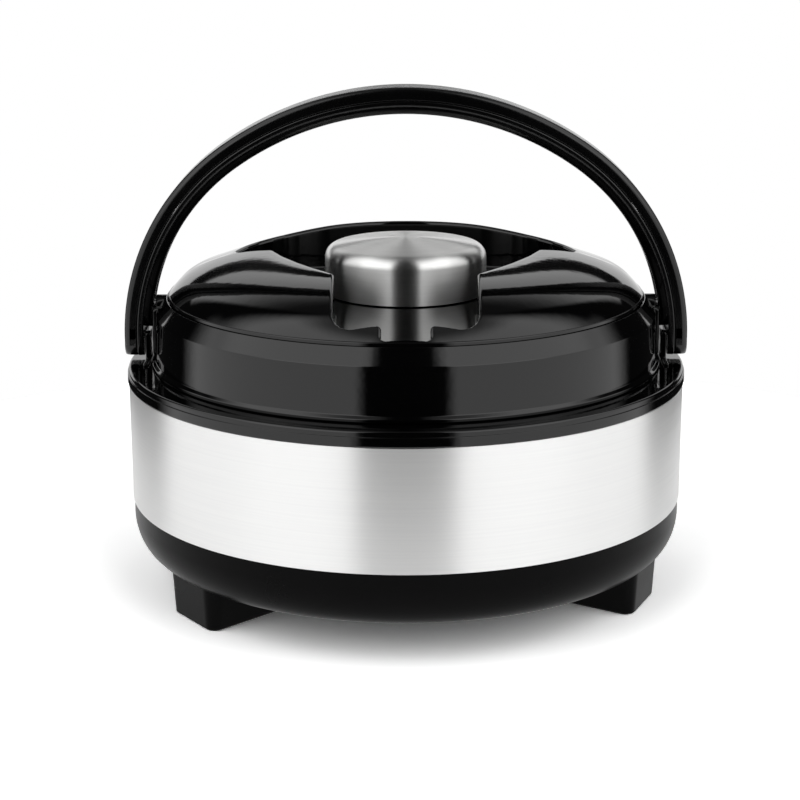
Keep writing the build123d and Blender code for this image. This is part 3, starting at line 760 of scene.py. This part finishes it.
lid_wall_grids = [(turned(skirt_section), True, True)]
for side in (-1, 1):
    lid_wall_grids += [(boss_grid(side), False, True), (pad_grid(side), False, True)]
add_piece("lid_wall", lid_wall_grids, gloss_black, "lid", ["lid_skirt"])

# %% [markdown]
# On the food side the lid is closed by a shallow spun dish, which shows when the lid is lifted.

# %% Lid liner
liner_radius = 92.6
liner_sheet = 0.8
liner_bottom = 85.9
liner_rim = 95.4
liner_rim_radius = 102.2
liner_corner = 4.0
liner_section = rounded(
    [
        (0, liner_bottom),
        (liner_radius, liner_bottom),
        (liner_radius, liner_rim),
        (liner_rim_radius, liner_rim),
        (liner_rim_radius, liner_rim + liner_sheet),
        (liner_radius - liner_sheet, liner_rim + liner_sheet),
        (liner_radius - liner_sheet, liner_bottom + liner_sheet),
        (0, liner_bottom + liner_sheet),
    ],
    [0, liner_corner, 0.8, 0.2, 0.2, 0.4, liner_corner - liner_sheet, 0],
)
liner_grids = [(turned(liner_section), True, True)]
add_piece("liner_dish", liner_grids, bowl_steel, "lid", ["lid_liner"])

# %% [markdown]
# The dome is the piece that takes the most skill: a flank that rises to the lip of the finger
# pocket, a bay in front for the thumb, a notch that ends just short of the rim, and a low hump on
# each side of the bay. Cutting it with a Boolean would leave ragged faces along the lip. Instead
# the pocket's outline is one direction of a grid, and the other direction goes from the middle of
# the pocket's floor, up its wall, round the lip and out over the flank to the rim. First the height
# of the flank as a function of radius.

# %% Height of the flank
dome_radius = 97.7
dome_rim = 122.1
well_radius = 58.5
lip_height = 141.2
brow = np.array((88.42, 130.5))
rim_fall = np.radians(52.0)
hump_crest = (54.0, 138.5)
hump_slope = 0.55
hump_back = (3.0, 14.0)
flank_slope = (lip_height - brow[1]) / (brow[0] - well_radius)


def cubic(first, first_slope, last, last_slope, steps=200):
    """Points of the cubic between two points that leaves and arrives at given slopes.

    It sums the two points and the two directions, each weighted by its own polynomial in t. The
    directions are as long as the chord.
    """
    t = np.linspace(0, 1, steps)[:, None]
    first, last = np.array(first), np.array(last)
    chord = np.linalg.norm(last - first)
    leave = chord * np.array((1, first_slope)) / np.hypot(1, first_slope)
    arrive = chord * np.array((1, last_slope)) / np.hypot(1, last_slope)
    points = (1 + 2 * t) * (1 - t) ** 2 * first + t**2 * (3 - 2 * t) * last
    return points + t * (1 - t) ** 2 * leave + t**2 * (t - 1) * arrive


rim = (dome_radius, dome_rim)
back_line = np.concatenate([
    [(0.0, lip_height + flank_slope * well_radius)],
    cubic(brow, -flank_slope, rim, -np.tan(rim_fall)),
])
front_line = np.concatenate([
    [(0.0, hump_crest[1])],
    cubic(hump_crest, 0.0, brow, -hump_slope),
    cubic(brow, -hump_slope, rim, -np.tan(rim_fall))[1:],
])


def crown_height(plan):
    """Height over points in plan: two profiles by radius, blended across the pivot axis.

    Behind the axis a straight flank rises to the lip. In front of it the flank is a hump that is
    level at its crest. Both meet in the brow and fall to the rim.
    """
    radius = np.linalg.norm(plan, axis=-1)
    behind = np.interp(radius, back_line[:, 0], back_line[:, 1])
    before = np.interp(radius, front_line[:, 0], front_line[:, 1])
    share = np.clip((plan[..., 1] - hump_back[0]) / (hump_back[1] - hump_back[0]), 0, 1)
    return before + share**2 * (3 - 2 * share) * (behind - before)


samples = np.array([(0, -60), (0, -80), (0, -97), (0, 60.0)])
print("heights at 60, 80 and 97 mm in front and 60 mm behind", np.round(crown_height(samples), 2))

# %% [markdown]
# The pocket's outline is written as corner points for one half, each with its radius, and
# mirrored: the notch, the bay, the near lip that sweeps back to the end of a hump, the wing beside
# it and the scalloped back. The notch stops just short of the rim, and what is left is the thin
# bright line that the photograph has there.

# %% Outline of the pocket
notch_corners = [(9.1, -96.5, 1.6), (9.1, -90.5, 1.6)]
bay_corners = [(27.3, -90.5, 18.0), (27.9, -46.5, 4.0)]
near_lip = [(35.9, -35.0, 40.0), (42.3, -24.6, 40.0), (50.0, -9.6, 30.0), (55.0, 3.6, 2.0)]
wing = [(62.0, 4.5, 12.0), (69.6, 5.7, 2.5), (70.4, 12.0, 8.0)]
wing_back = [(66.8, 24.0, 15.0), (62.8, 32.5, 15.0), (57.4, 39.0, 10.0), (52.0, 43.5, 10.0)]
back = [(46.0, 46.0, 15.0), (40.0, 47.8, 15.0), (33.0, 49.8, 15.0)]
back += [(20.0, 54.5, 40.0), (10.0, 57.2, 40.0)]
middle_back = [(0.0, 58.0, 40.0)]
pocket_points = 1040


def pocket_outline():
    """Closed outline of the pocket, anticlockwise from the front, at equal steps."""
    right = np.array(notch_corners + bay_corners + near_lip + wing + wing_back + back)
    left = (right * (-1, 1, 1))[::-1]
    corners = np.concatenate([right, middle_back, left])
    return spaced(rounded(corners[:, :2], corners[:, 2]), pocket_points)


pocket = pocket_outline()
print("pocket outline", len(pocket), "points, reach", np.round(np.abs(pocket).max(axis=0), 1))

# %% [markdown]
# Now the grid itself. Under the knob its rows are circles, and further out they follow the outline.
# A point of the outline has a plan normal that points into the dome. The lip is a quarter circle
# that starts up the wall and ends out along that normal, and from there the rows run straight out
# to the rim on the same bearing. Where the wall is low, as at the front notch, the fillet and the
# lip shrink with it.

# %% Dome with the finger pocket
pocket_floor = 121.8
lip_round = 1.3
foot_round = 1.2
under_knob = (0.0, 12.0, 25.0)
floor_strip = 0.3
wall_rows = (0.06, 0.5, 0.94)
flank_rows = 30
flank_crowding = 1.15
rim_round = 0.5


def ring(plan, height):
    """One row of the grid: points in plan with a height for each, or one height for all."""
    return np.hstack([plan, np.broadcast_to(height, (len(plan), 1))])


def dome_grid():
    """Rings from the pocket's floor to the rim, down to the seat and back to the middle."""
    normal = outward_of(pocket)
    wall = crown_height(pocket + lip_round * normal) - pocket_floor
    shrink = np.clip(wall / (lip_round + foot_round + floor_strip), 0, 1)[:, None]
    lip, foot = lip_round * shrink, foot_round * shrink
    top = crown_height(pocket + lip * normal)[:, None]
    start = np.arctan2(pocket[0, 1], pocket[0, 0])
    turn = np.linspace(0, 2 * np.pi, len(pocket), endpoint=False) + start
    circle = np.stack([np.cos(turn), np.sin(turn)], axis=-1)
    rows = [ring(radius * circle, pocket_floor) for radius in under_knob]
    rows += [ring(pocket - inset * normal, pocket_floor) for inset in (foot_round + floor_strip, foot)]
    bend = np.linspace(0, np.pi / 2, 6)
    for t in bend[1:]:
        fillet = pocket - foot * (1 - np.sin(t)) * normal
        rows.append(ring(fillet, pocket_floor + foot * (1 - np.cos(t))))
    wall_foot, wall_top = pocket_floor + foot, top - lip
    rows += [ring(pocket, wall_foot + share * (wall_top - wall_foot)) for share in wall_rows]
    for t in bend:
        over_lip = pocket + lip * (1 - np.cos(t)) * normal
        rows.append(ring(over_lip, top - lip * (1 - np.sin(t))))
    edge = pocket + lip * normal
    inner = np.linalg.norm(edge, axis=1, keepdims=True)
    bearing = edge / inner
    outer = dome_radius - rim_round
    for share in 1 - (1 - np.linspace(0, 1, flank_rows)[1:]) ** flank_crowding:
        radius = inner + share * (outer - inner)
        rows.append(ring(bearing * radius, crown_height(bearing * radius)[:, None]))
    rim_height = crown_height(np.array((0, -outer))) - rim_round
    for t in bend[1:]:
        radius = outer + rim_round * np.sin(t)
        rows.append(ring(bearing * radius, rim_height + rim_round * np.cos(t)))
    for radius in (dome_radius, 0.5 * dome_radius, 0.0):
        rows.append(ring(bearing * radius, seat_height))
    return np.stack(rows)


dome_grids = [(dome_grid(), False, True)]
add_piece("dome_with_pocket", dome_grids, gloss_black, "lid", ["lid_dome"])

# %% [markdown]
# The knob's cap is drawn from steel sheet: an upright side, a rounded edge and a top with a slight
# crown, hollow below. The core inside it stands on a narrower foot and stays the CAD node.

# %% Knob cap
knob_radius = 33.3
knob_bottom = 122.3
knob_top = 141.0
knob_crown = 3.7
knob_edge = 5.5
knob_sheet = 0.8
knob_hem = 0.4


def knob_line(radius, bottom, top, edge):
    """From the middle of the crown out over the rounded edge and down the side."""
    sphere = (radius**2 + knob_crown**2) / (2 * knob_crown)
    slope = np.arcsin((radius - edge) / (sphere - edge))
    swing = np.linspace(0, slope, 20)
    height = top + knob_crown - sphere + sphere * np.cos(swing)
    crown = np.stack([sphere * np.sin(swing), height], axis=-1)
    centre = np.array((radius - edge, crown[-1, 1] - edge * np.cos(slope)))
    bend = np.linspace(np.pi / 2 - slope, 0, 12)
    corner = centre + edge * np.stack([np.cos(bend), np.sin(bend)], axis=-1)
    return np.concatenate([crown, corner[1:], [(radius, bottom + knob_hem), (radius, bottom)]])


cap_outside = knob_line(knob_radius, knob_bottom, knob_top, knob_edge)
cap_inside = knob_line(
    knob_radius - knob_sheet, knob_bottom, knob_top - knob_sheet, knob_edge - knob_sheet
)[::-1]
knob_section = np.concatenate([cap_outside, cap_inside])
knob_grids = [(turned(knob_section), True, False)]
add_piece("knob_shell", knob_grids, knob_steel, "lid", ["knob_cap"])

# %% [markdown]
# The handle is a section carried along an arch. The arch is three tangent arcs on two straight
# legs, and its line is the seam between the bail and the cap strip. At every point of it there is
# a position and an outward direction, and the section is placed by those two.

# %% Line of the handle's arch
handle_cap_thickness = 5.4
handle_depth = 18.0
leg_bottom = 95.7
spring_height = 103.3
side_centre = 19.4
side_radius = 97.0
crown_extra = 6.1
arch_rise = side_radius + crown_extra
top_radius = (side_centre**2 + arch_rise**2 - side_radius**2) / (2 * crown_extra)
top_centre = spring_height - (top_radius - arch_rise)
side_angle = np.arctan2(top_radius - arch_rise, side_centre)


def arch_line(heights):
    """Points and outward directions along the seam, from one leg's foot to the other's.

    The given heights are stations up a leg, which leans in once it is above the spring line. The
    side arcs and the top arc follow at equal angles, and the other half is the mirror image.
    """
    inner = side_radius - handle_cap_thickness
    lean = np.arcsin(np.clip((heights - spring_height) / inner, 0, 1))
    side = np.linspace(lean[-1], side_angle, 30)[1:]
    top = np.linspace(side_angle, np.pi / 2, 26)[1:]
    angle = np.concatenate([lean, side, top])
    outward = np.stack([np.cos(angle), np.sin(angle)], axis=-1)
    on_side = np.array((side_centre, spring_height)) + inner * outward
    on_top = np.array((0, top_centre)) + (top_radius - handle_cap_thickness) * outward
    point = np.where((angle > side_angle)[:, None], on_top, on_side)
    straight = heights < spring_height
    point[: len(heights)][straight, 1] = heights[straight]
    mirror = (-1, 1)
    point = np.concatenate([point, (point * mirror)[-2::-1]])
    outward = np.concatenate([outward, (outward * mirror)[-2::-1]])
    return point, outward


def both_legs(values, length):
    """Values at the stations of one leg, held along the arch and mirrored onto the other leg."""
    held = np.full(length, values[-1], float)
    held[: len(values)] = values
    held[-len(values):] = values[::-1]
    return held


def swept(point, outward, across, depth):
    """Place sections along the arch: across runs outward in its plane, depth runs along y."""
    x = point[:, :1] + across * outward[:, :1]
    z = point[:, 1:] + across * outward[:, 1:]
    return np.stack([x, np.broadcast_to(depth, x.shape), z], axis=-1)


print("side arcs of the arch", round(float(np.degrees(side_angle)), 1), "degrees")
print("top radius of the arch", round(top_radius, 1))

# %% [markdown]
# The foot of a leg has rounded corners, and its edge is broken all round. Round the pivot the leg
# has an eye. So the stations up a leg lie close together where these forms change. The first
# station of the eye is just short of its lowest point, where it would have no width.

# %% Stations up a leg
eye_radius = handle_depth / 2
leg_round = 5.0
leg_edge = 0.7
round_start = 0.6
eye_start = 0.48 * np.pi
eye_turn = np.linspace(eye_start, 0, 22)
eye_stations = pivot_height - eye_radius * np.sin(eye_turn)
edge_turn = np.linspace(0, np.pi / 2, 6)
foot_stations = leg_bottom + leg_edge * (1 - np.cos(edge_turn))
round_stations = leg_bottom + leg_round * (1 - np.cos(np.linspace(round_start, np.pi / 2, 9)))
low_stations = np.concatenate([[leg_bottom], foot_stations, round_stations, [eye_stations[0]]])
leg_stations = np.concatenate([low_stations, eye_stations])


def foot_shape(stations):
    """Share of the full depth at each station, how far the edge is drawn in, and 0 where it closes."""
    above = np.clip(stations - leg_bottom, 0, leg_round)
    half = eye_radius - leg_round + np.sqrt(leg_round**2 - (leg_round - above) ** 2)
    near = np.clip(stations - leg_bottom, 0, leg_edge)
    drawn = leg_edge - np.sqrt(leg_edge**2 - (leg_edge - near) ** 2)
    closed = np.ones(len(stations))
    closed[0] = 0
    return half / eye_radius, drawn, closed


print("stations up a leg", len(leg_stations))

# %% [markdown]
# Below the pivot the inner part of the leg is cut back, so that it swings past the keeper, and
# leaves a round eye. So the section of the bail has a step in its side: above the pivot the step
# has no width, round the eye it grows, and below the eye the inner part is gone.

# %% Handle bail
rebate = -2.7
bail_inner = -5.6
inner_round = 4.9
seam_round = 0.5
step_points = 5
face_margin = 0.8
face_share = 0.9


def corner_arc(centre_u, centre_v, radius, start, stop, steps):
    """Arcs for many sections at once: one row for each section."""
    angle = np.linspace(start, stop, steps)[None, :]
    return centre_u + radius * np.cos(angle), centre_v + radius * np.sin(angle)


def bail_grid():
    """Sections of the bail: seam, outer part, step, eye and inner face, then mirrored in depth.

    The side of the section is a quarter circle from the seam to the inner face. It is cut at the
    step: beyond it the half width is the smaller of the quarter circle's and the eye's.
    """
    point, outward = arch_line(leg_stations)
    count = len(point)
    share, drawn, closed = (both_legs(values, count)[:, None] for values in foot_shape(leg_stations))
    in_eye = np.concatenate([np.zeros(len(low_stations)), np.cos(eye_turn)])
    whole = np.concatenate([np.zeros(len(low_stations)), np.ones(len(eye_turn))])
    eye_half = eye_radius * both_legs(in_eye, count)[:, None]
    present = both_legs(whole, count)[:, None]
    full = eye_radius * share - drawn
    seam_u, seam_v = corner_arc(-drawn - seam_round, full - seam_round, seam_round, 0, np.pi / 2, 6)
    bend_start = bail_inner + inner_round
    bend_step = np.arcsin((bend_start - rebate) / inner_round)
    before_step = np.linspace(0, bend_step, step_points)
    after_step = np.linspace(bend_step, np.pi / 2, 12)
    bend = np.concatenate([before_step, after_step])[None, :]
    side_u = bend_start - inner_round * np.sin(bend) + drawn
    side_v = full - inner_round * (1 - np.cos(bend))
    beyond = np.arange(bend.size)[None, :] >= step_points
    side_u = np.where(beyond, rebate + drawn + present * (side_u - rebate - drawn), side_u)
    side_v = np.where(beyond, np.clip(side_v, 0, eye_half), side_v)
    ones = np.ones((count, 1))
    half_u = np.hstack([-drawn, -drawn, seam_u, side_u, side_u[:, -1:]])
    half_v = np.hstack([0 * ones, full - face_margin, seam_v, side_v, face_share * side_v[:, -1:]])
    across = np.hstack([half_u, half_u[:, ::-1]])
    depth = np.hstack([half_v, -half_v[:, ::-1]])
    middle = rebate / 2
    across = middle + closed * (across - middle)
    return swept(point, outward, across, closed * depth)


bail_grids = [(bail_grid(), False, True)]
add_piece("bail", bail_grids, handle_black, "handle", ["handle_bail"])

# %% [markdown]
# The cap strip lies on the outside of the bail, a little narrower, so that the seam shows as a
# fine line on the front and the back of the handle.

# %% Handle cap strip
cap_inset = 0.45
cap_gap = 0.1
cap_round = 2.4
soft_share = 0.45
soft_extra = 0.5
flat_share = 0.96
cap_stations = np.concatenate([low_stations, [spring_height]])


def cap_grid():
    """Sections of the strip: a rounded rectangle that is softer on its outer side."""
    point, outward = arch_line(cap_stations)
    count = len(point)
    share, drawn, closed = (both_legs(values, count)[:, None] for values in foot_shape(cap_stations))
    full = eye_radius * share - cap_inset - drawn
    low = cap_gap + drawn
    high = handle_cap_thickness - drawn
    soft = np.minimum(cap_round, soft_share * (high - low) + soft_extra * cap_round * closed)
    out_u, out_v = corner_arc(high - soft, full - soft, soft, 0, np.pi / 2, 10)
    in_u, in_v = corner_arc(low + seam_round, full - seam_round, seam_round, np.pi / 2, np.pi, 6)
    ones = np.ones((count, 1))
    half_u = np.hstack([high, high, out_u, in_u, low, low])
    outer_flat, inner_flat = flat_share * (full - soft), full - 2 * seam_round
    half_v = np.hstack([0 * ones, outer_flat, out_v, in_v, inner_flat, 0 * ones])
    across = np.hstack([half_u, half_u[:, ::-1]])
    depth = np.hstack([half_v, -half_v[:, ::-1]])
    middle = handle_cap_thickness / 2
    across = middle + closed * (across - middle)
    return swept(point, outward, across, closed * depth)


cap_grids = [(cap_grid(), False, True)]
add_piece("cap_strip", cap_grids, handle_black, "handle", ["handle_cap"])

# %% [markdown]
# The dish stands on a round white table top, which is part of the stage and not of the dish.

# %% Table top
table_radius = 0.36
table_sides = 128
bearings = np.linspace(0, 2 * np.pi, table_sides, endpoint=False)
disc = table_radius * np.stack([np.cos(bearings), np.sin(bearings), 0 * bearings], axis=-1)
table_face = bpy.data.meshes.new("table_top")
table_face.from_pydata(disc.tolist(), [], [list(range(table_sides))])
table = bpy.data.objects.new("table_top", table_face)
bpy.context.scene.collection.objects.link(table)
print("table top radius", table_radius)

# %% [markdown]
# The camera sees the table top white, as in the photograph, because its colour is lifted for camera
# rays alone. The light that the dish takes away is still missing from it, so the contact shadow
# stays. Mirror-like surfaces see a weak glow on it, and beyond its edge they see the studio.

# %% Finish of the table top
table_white = 0.8
lifted = 1.8
mirrored_glow = 0.45
white_top = bpy.data.materials.new("white_top")
white_top.use_nodes = True
nodes, links = white_top.node_tree.nodes, white_top.node_tree.links
nodes.clear()
path = nodes.new("ShaderNodeLightPath")
white = nodes.new("ShaderNodeMix")
white.data_type = "RGBA"
white.inputs["A"].default_value = (table_white, table_white, table_white, 1)
white.inputs["B"].default_value = (lifted, lifted, lifted, 1)
links.new(path.outputs["Is Camera Ray"], white.inputs["Factor"])
diffuse = nodes.new("ShaderNodeBsdfDiffuse")
links.new(white.outputs["Result"], diffuse.inputs["Color"])
glow = nodes.new("ShaderNodeEmission")
level = nodes.new("ShaderNodeMath")
level.operation = "MULTIPLY"
level.inputs[1].default_value = mirrored_glow
links.new(path.outputs["Is Glossy Ray"], level.inputs[0])
links.new(level.outputs[0], glow.inputs["Strength"])
both = nodes.new("ShaderNodeAddShader")
links.new(diffuse.outputs[0], both.inputs[0])
links.new(glow.outputs[0], both.inputs[1])
output = nodes.new("ShaderNodeOutputMaterial")
links.new(both.outputs[0], output.inputs["Surface"])
table_face.materials.append(white_top)
print("finish of the table top", white_top.name, len(nodes), "nodes")

# %% [markdown]
# The studio is dark, with soft light in chosen directions, so that the gloss black stays black
# between its reflections. The light is worked out from the direction alone: a soft step of its
# height, of how far ahead it points or of how far to the side. First the readings and the helpers.

# %% Directions in the studio
world = bpy.data.worlds.new("studio")
bpy.context.scene.world = world
world.use_nodes = True
nodes, links = world.node_tree.nodes, world.node_tree.links
nodes.clear()
direction = nodes.new("ShaderNodeTexCoord")
parts = nodes.new("ShaderNodeSeparateXYZ")
links.new(direction.outputs["Generated"], parts.inputs[0])


def ramp(value, start, stop, low, high):
    """A smooth step of a socket's value from one level to another."""
    node = nodes.new("ShaderNodeMapRange")
    node.interpolation_type = "SMOOTHSTEP"
    for label, number in (("From Min", start), ("From Max", stop), ("To Min", low), ("To Max", high)):
        node.inputs[label].default_value = number
    links.new(value, node.inputs["Value"])
    return node.outputs["Result"]


def combined(operation, *values):
    """Several sockets or numbers put together by one operation, from left to right."""
    result = values[0]
    for value in values[1:]:
        result = math_node(world.node_tree, operation, result, value)
    return result


def soft_panel(strength, bottom, top, reading, edge, left=0.0):
    """Light between two heights that one more reading cuts off: a product of three soft steps.

    bottom, top and edge are where each step starts and ends, and left is the share of the light
    that stays above the top.
    """
    return combined(
        "MULTIPLY",
        ramp(up, *bottom, 0.0, strength),
        ramp(up, *top, 1.0, left),
        ramp(reading, *edge, 1.0, 0.0),
    )


up, ahead = parts.outputs["Z"], parts.outputs["Y"]
sideways = math_node(world.node_tree, "ABSOLUTE", parts.outputs["X"], 0.0)
print("world", world.name, "reads height, ahead and sideways")

# %% [markdown]
# Wide panels stand on the left and the right, in three heights, and leave a gap where the camera
# looks through. A soft light hangs over the back and fades upwards. The panels show in the brushed
# steel as upright stripes, and the light at the back shows in the gloss black as a shape with soft
# edges. The camera itself sees white in every direction.

# %% Studio world
gap_tangent = 0.34
gap_edge = (-0.04, 0.08)
rear_tangent = 0.80
rear_edge = (-0.08, 0.08)
dark_level = 0.01
past_gap = combined("ADD", sideways, combined("MULTIPLY", ahead, gap_tangent))
beside_gap = ramp(past_gap, *gap_edge, 0.0, 1.0)
low_panels = soft_panel(1.15, bottom=(-0.50, -0.38), top=(0.45, 0.60), reading=ahead, edge=(0.25, 0.50))
mid_panels = soft_panel(1.0, bottom=(0.18, 0.32), top=(0.50, 0.62), reading=ahead, edge=(-0.45, -0.20))
high_panels = soft_panel(
    1.6, bottom=(0.45, 0.60), top=(0.86, 0.96), reading=ahead, edge=(0.10, 0.40), left=0.2
)
panels = combined("MULTIPLY", beside_gap, combined("ADD", low_panels, mid_panels, high_panels))
beside_rear = combined("SUBTRACT", sideways, combined("MULTIPLY", ahead, rear_tangent))
rear = soft_panel(
    0.85, bottom=(0.32, 0.345), top=(0.52, 0.82), reading=beside_rear, edge=rear_edge, left=0.05
)
studio_level = combined("ADD", panels, rear, dark_level)
path = nodes.new("ShaderNodeLightPath")
pick = math_node(world.node_tree, "MAXIMUM", path.outputs["Is Camera Ray"], studio_level)
surroundings = nodes.new("ShaderNodeBackground")
surroundings.inputs["Color"].default_value = (1, 1, 1, 1)
links.new(pick, surroundings.inputs["Strength"])
output = nodes.new("ShaderNodeOutputWorld")
links.new(surroundings.outputs[0], output.inputs["Surface"])
print("world", world.name, len(nodes), "nodes")

# %% [markdown]
# A low white backdrop stands close behind the dish. It is a lamp with a place of its own and not a
# part of the world, because only low pieces should mirror it. The camera doesn't see it.

# %% Low backdrop
backdrop_width = 1.15
backdrop_height = 0.273
backdrop_behind = 0.60
backdrop_radiance = 1.0
lamp = bpy.data.lights.new("low_backdrop", "AREA")
lamp.shape = "RECTANGLE"
lamp.size = backdrop_width
lamp.size_y = backdrop_height
lamp.energy = backdrop_radiance * np.pi * backdrop_width * backdrop_height
backdrop = bpy.data.objects.new("low_backdrop", lamp)
backdrop.location = (0.0, backdrop_behind, backdrop_height / 2)
backdrop.rotation_euler = Vector((0, 1, 0)).to_track_quat("Z", "Y").to_euler()
backdrop.visible_camera = False
bpy.context.scene.collection.objects.link(backdrop)
print("low backdrop", backdrop_width, "by", backdrop_height, "m")

# %% [markdown]
# The camera stands in front and about 15 degrees above, with a long lens, where a camera fitted to
# the photograph puts it.

# %% Camera and view
camera_place = Vector((0.0, -0.800, 0.2890))
camera_tilt = np.radians(14.977)
camera_pan = 0.0031
camera_roll = -0.0024
lens_mm = 88.55
sensor_mm = 36.0
camera = bpy.data.cameras.new("photo_camera")
camera.lens = lens_mm
camera.sensor_width = sensor_mm
eye = bpy.data.objects.new("photo_camera", camera)
eye.location = camera_place
pan = Matrix.Rotation(camera_pan, 3, "Z")
tilt = Matrix.Rotation(np.pi / 2 - camera_tilt, 3, "X")
roll = Matrix.Rotation(camera_roll, 3, "Z")
eye.rotation_euler = (pan @ tilt @ roll).to_euler()
bpy.context.scene.collection.objects.link(eye)
bpy.context.scene.camera = eye
bpy.context.scene.view_settings.view_transform = "Standard"
print("camera at", [round(x, 3) for x in eye.location])
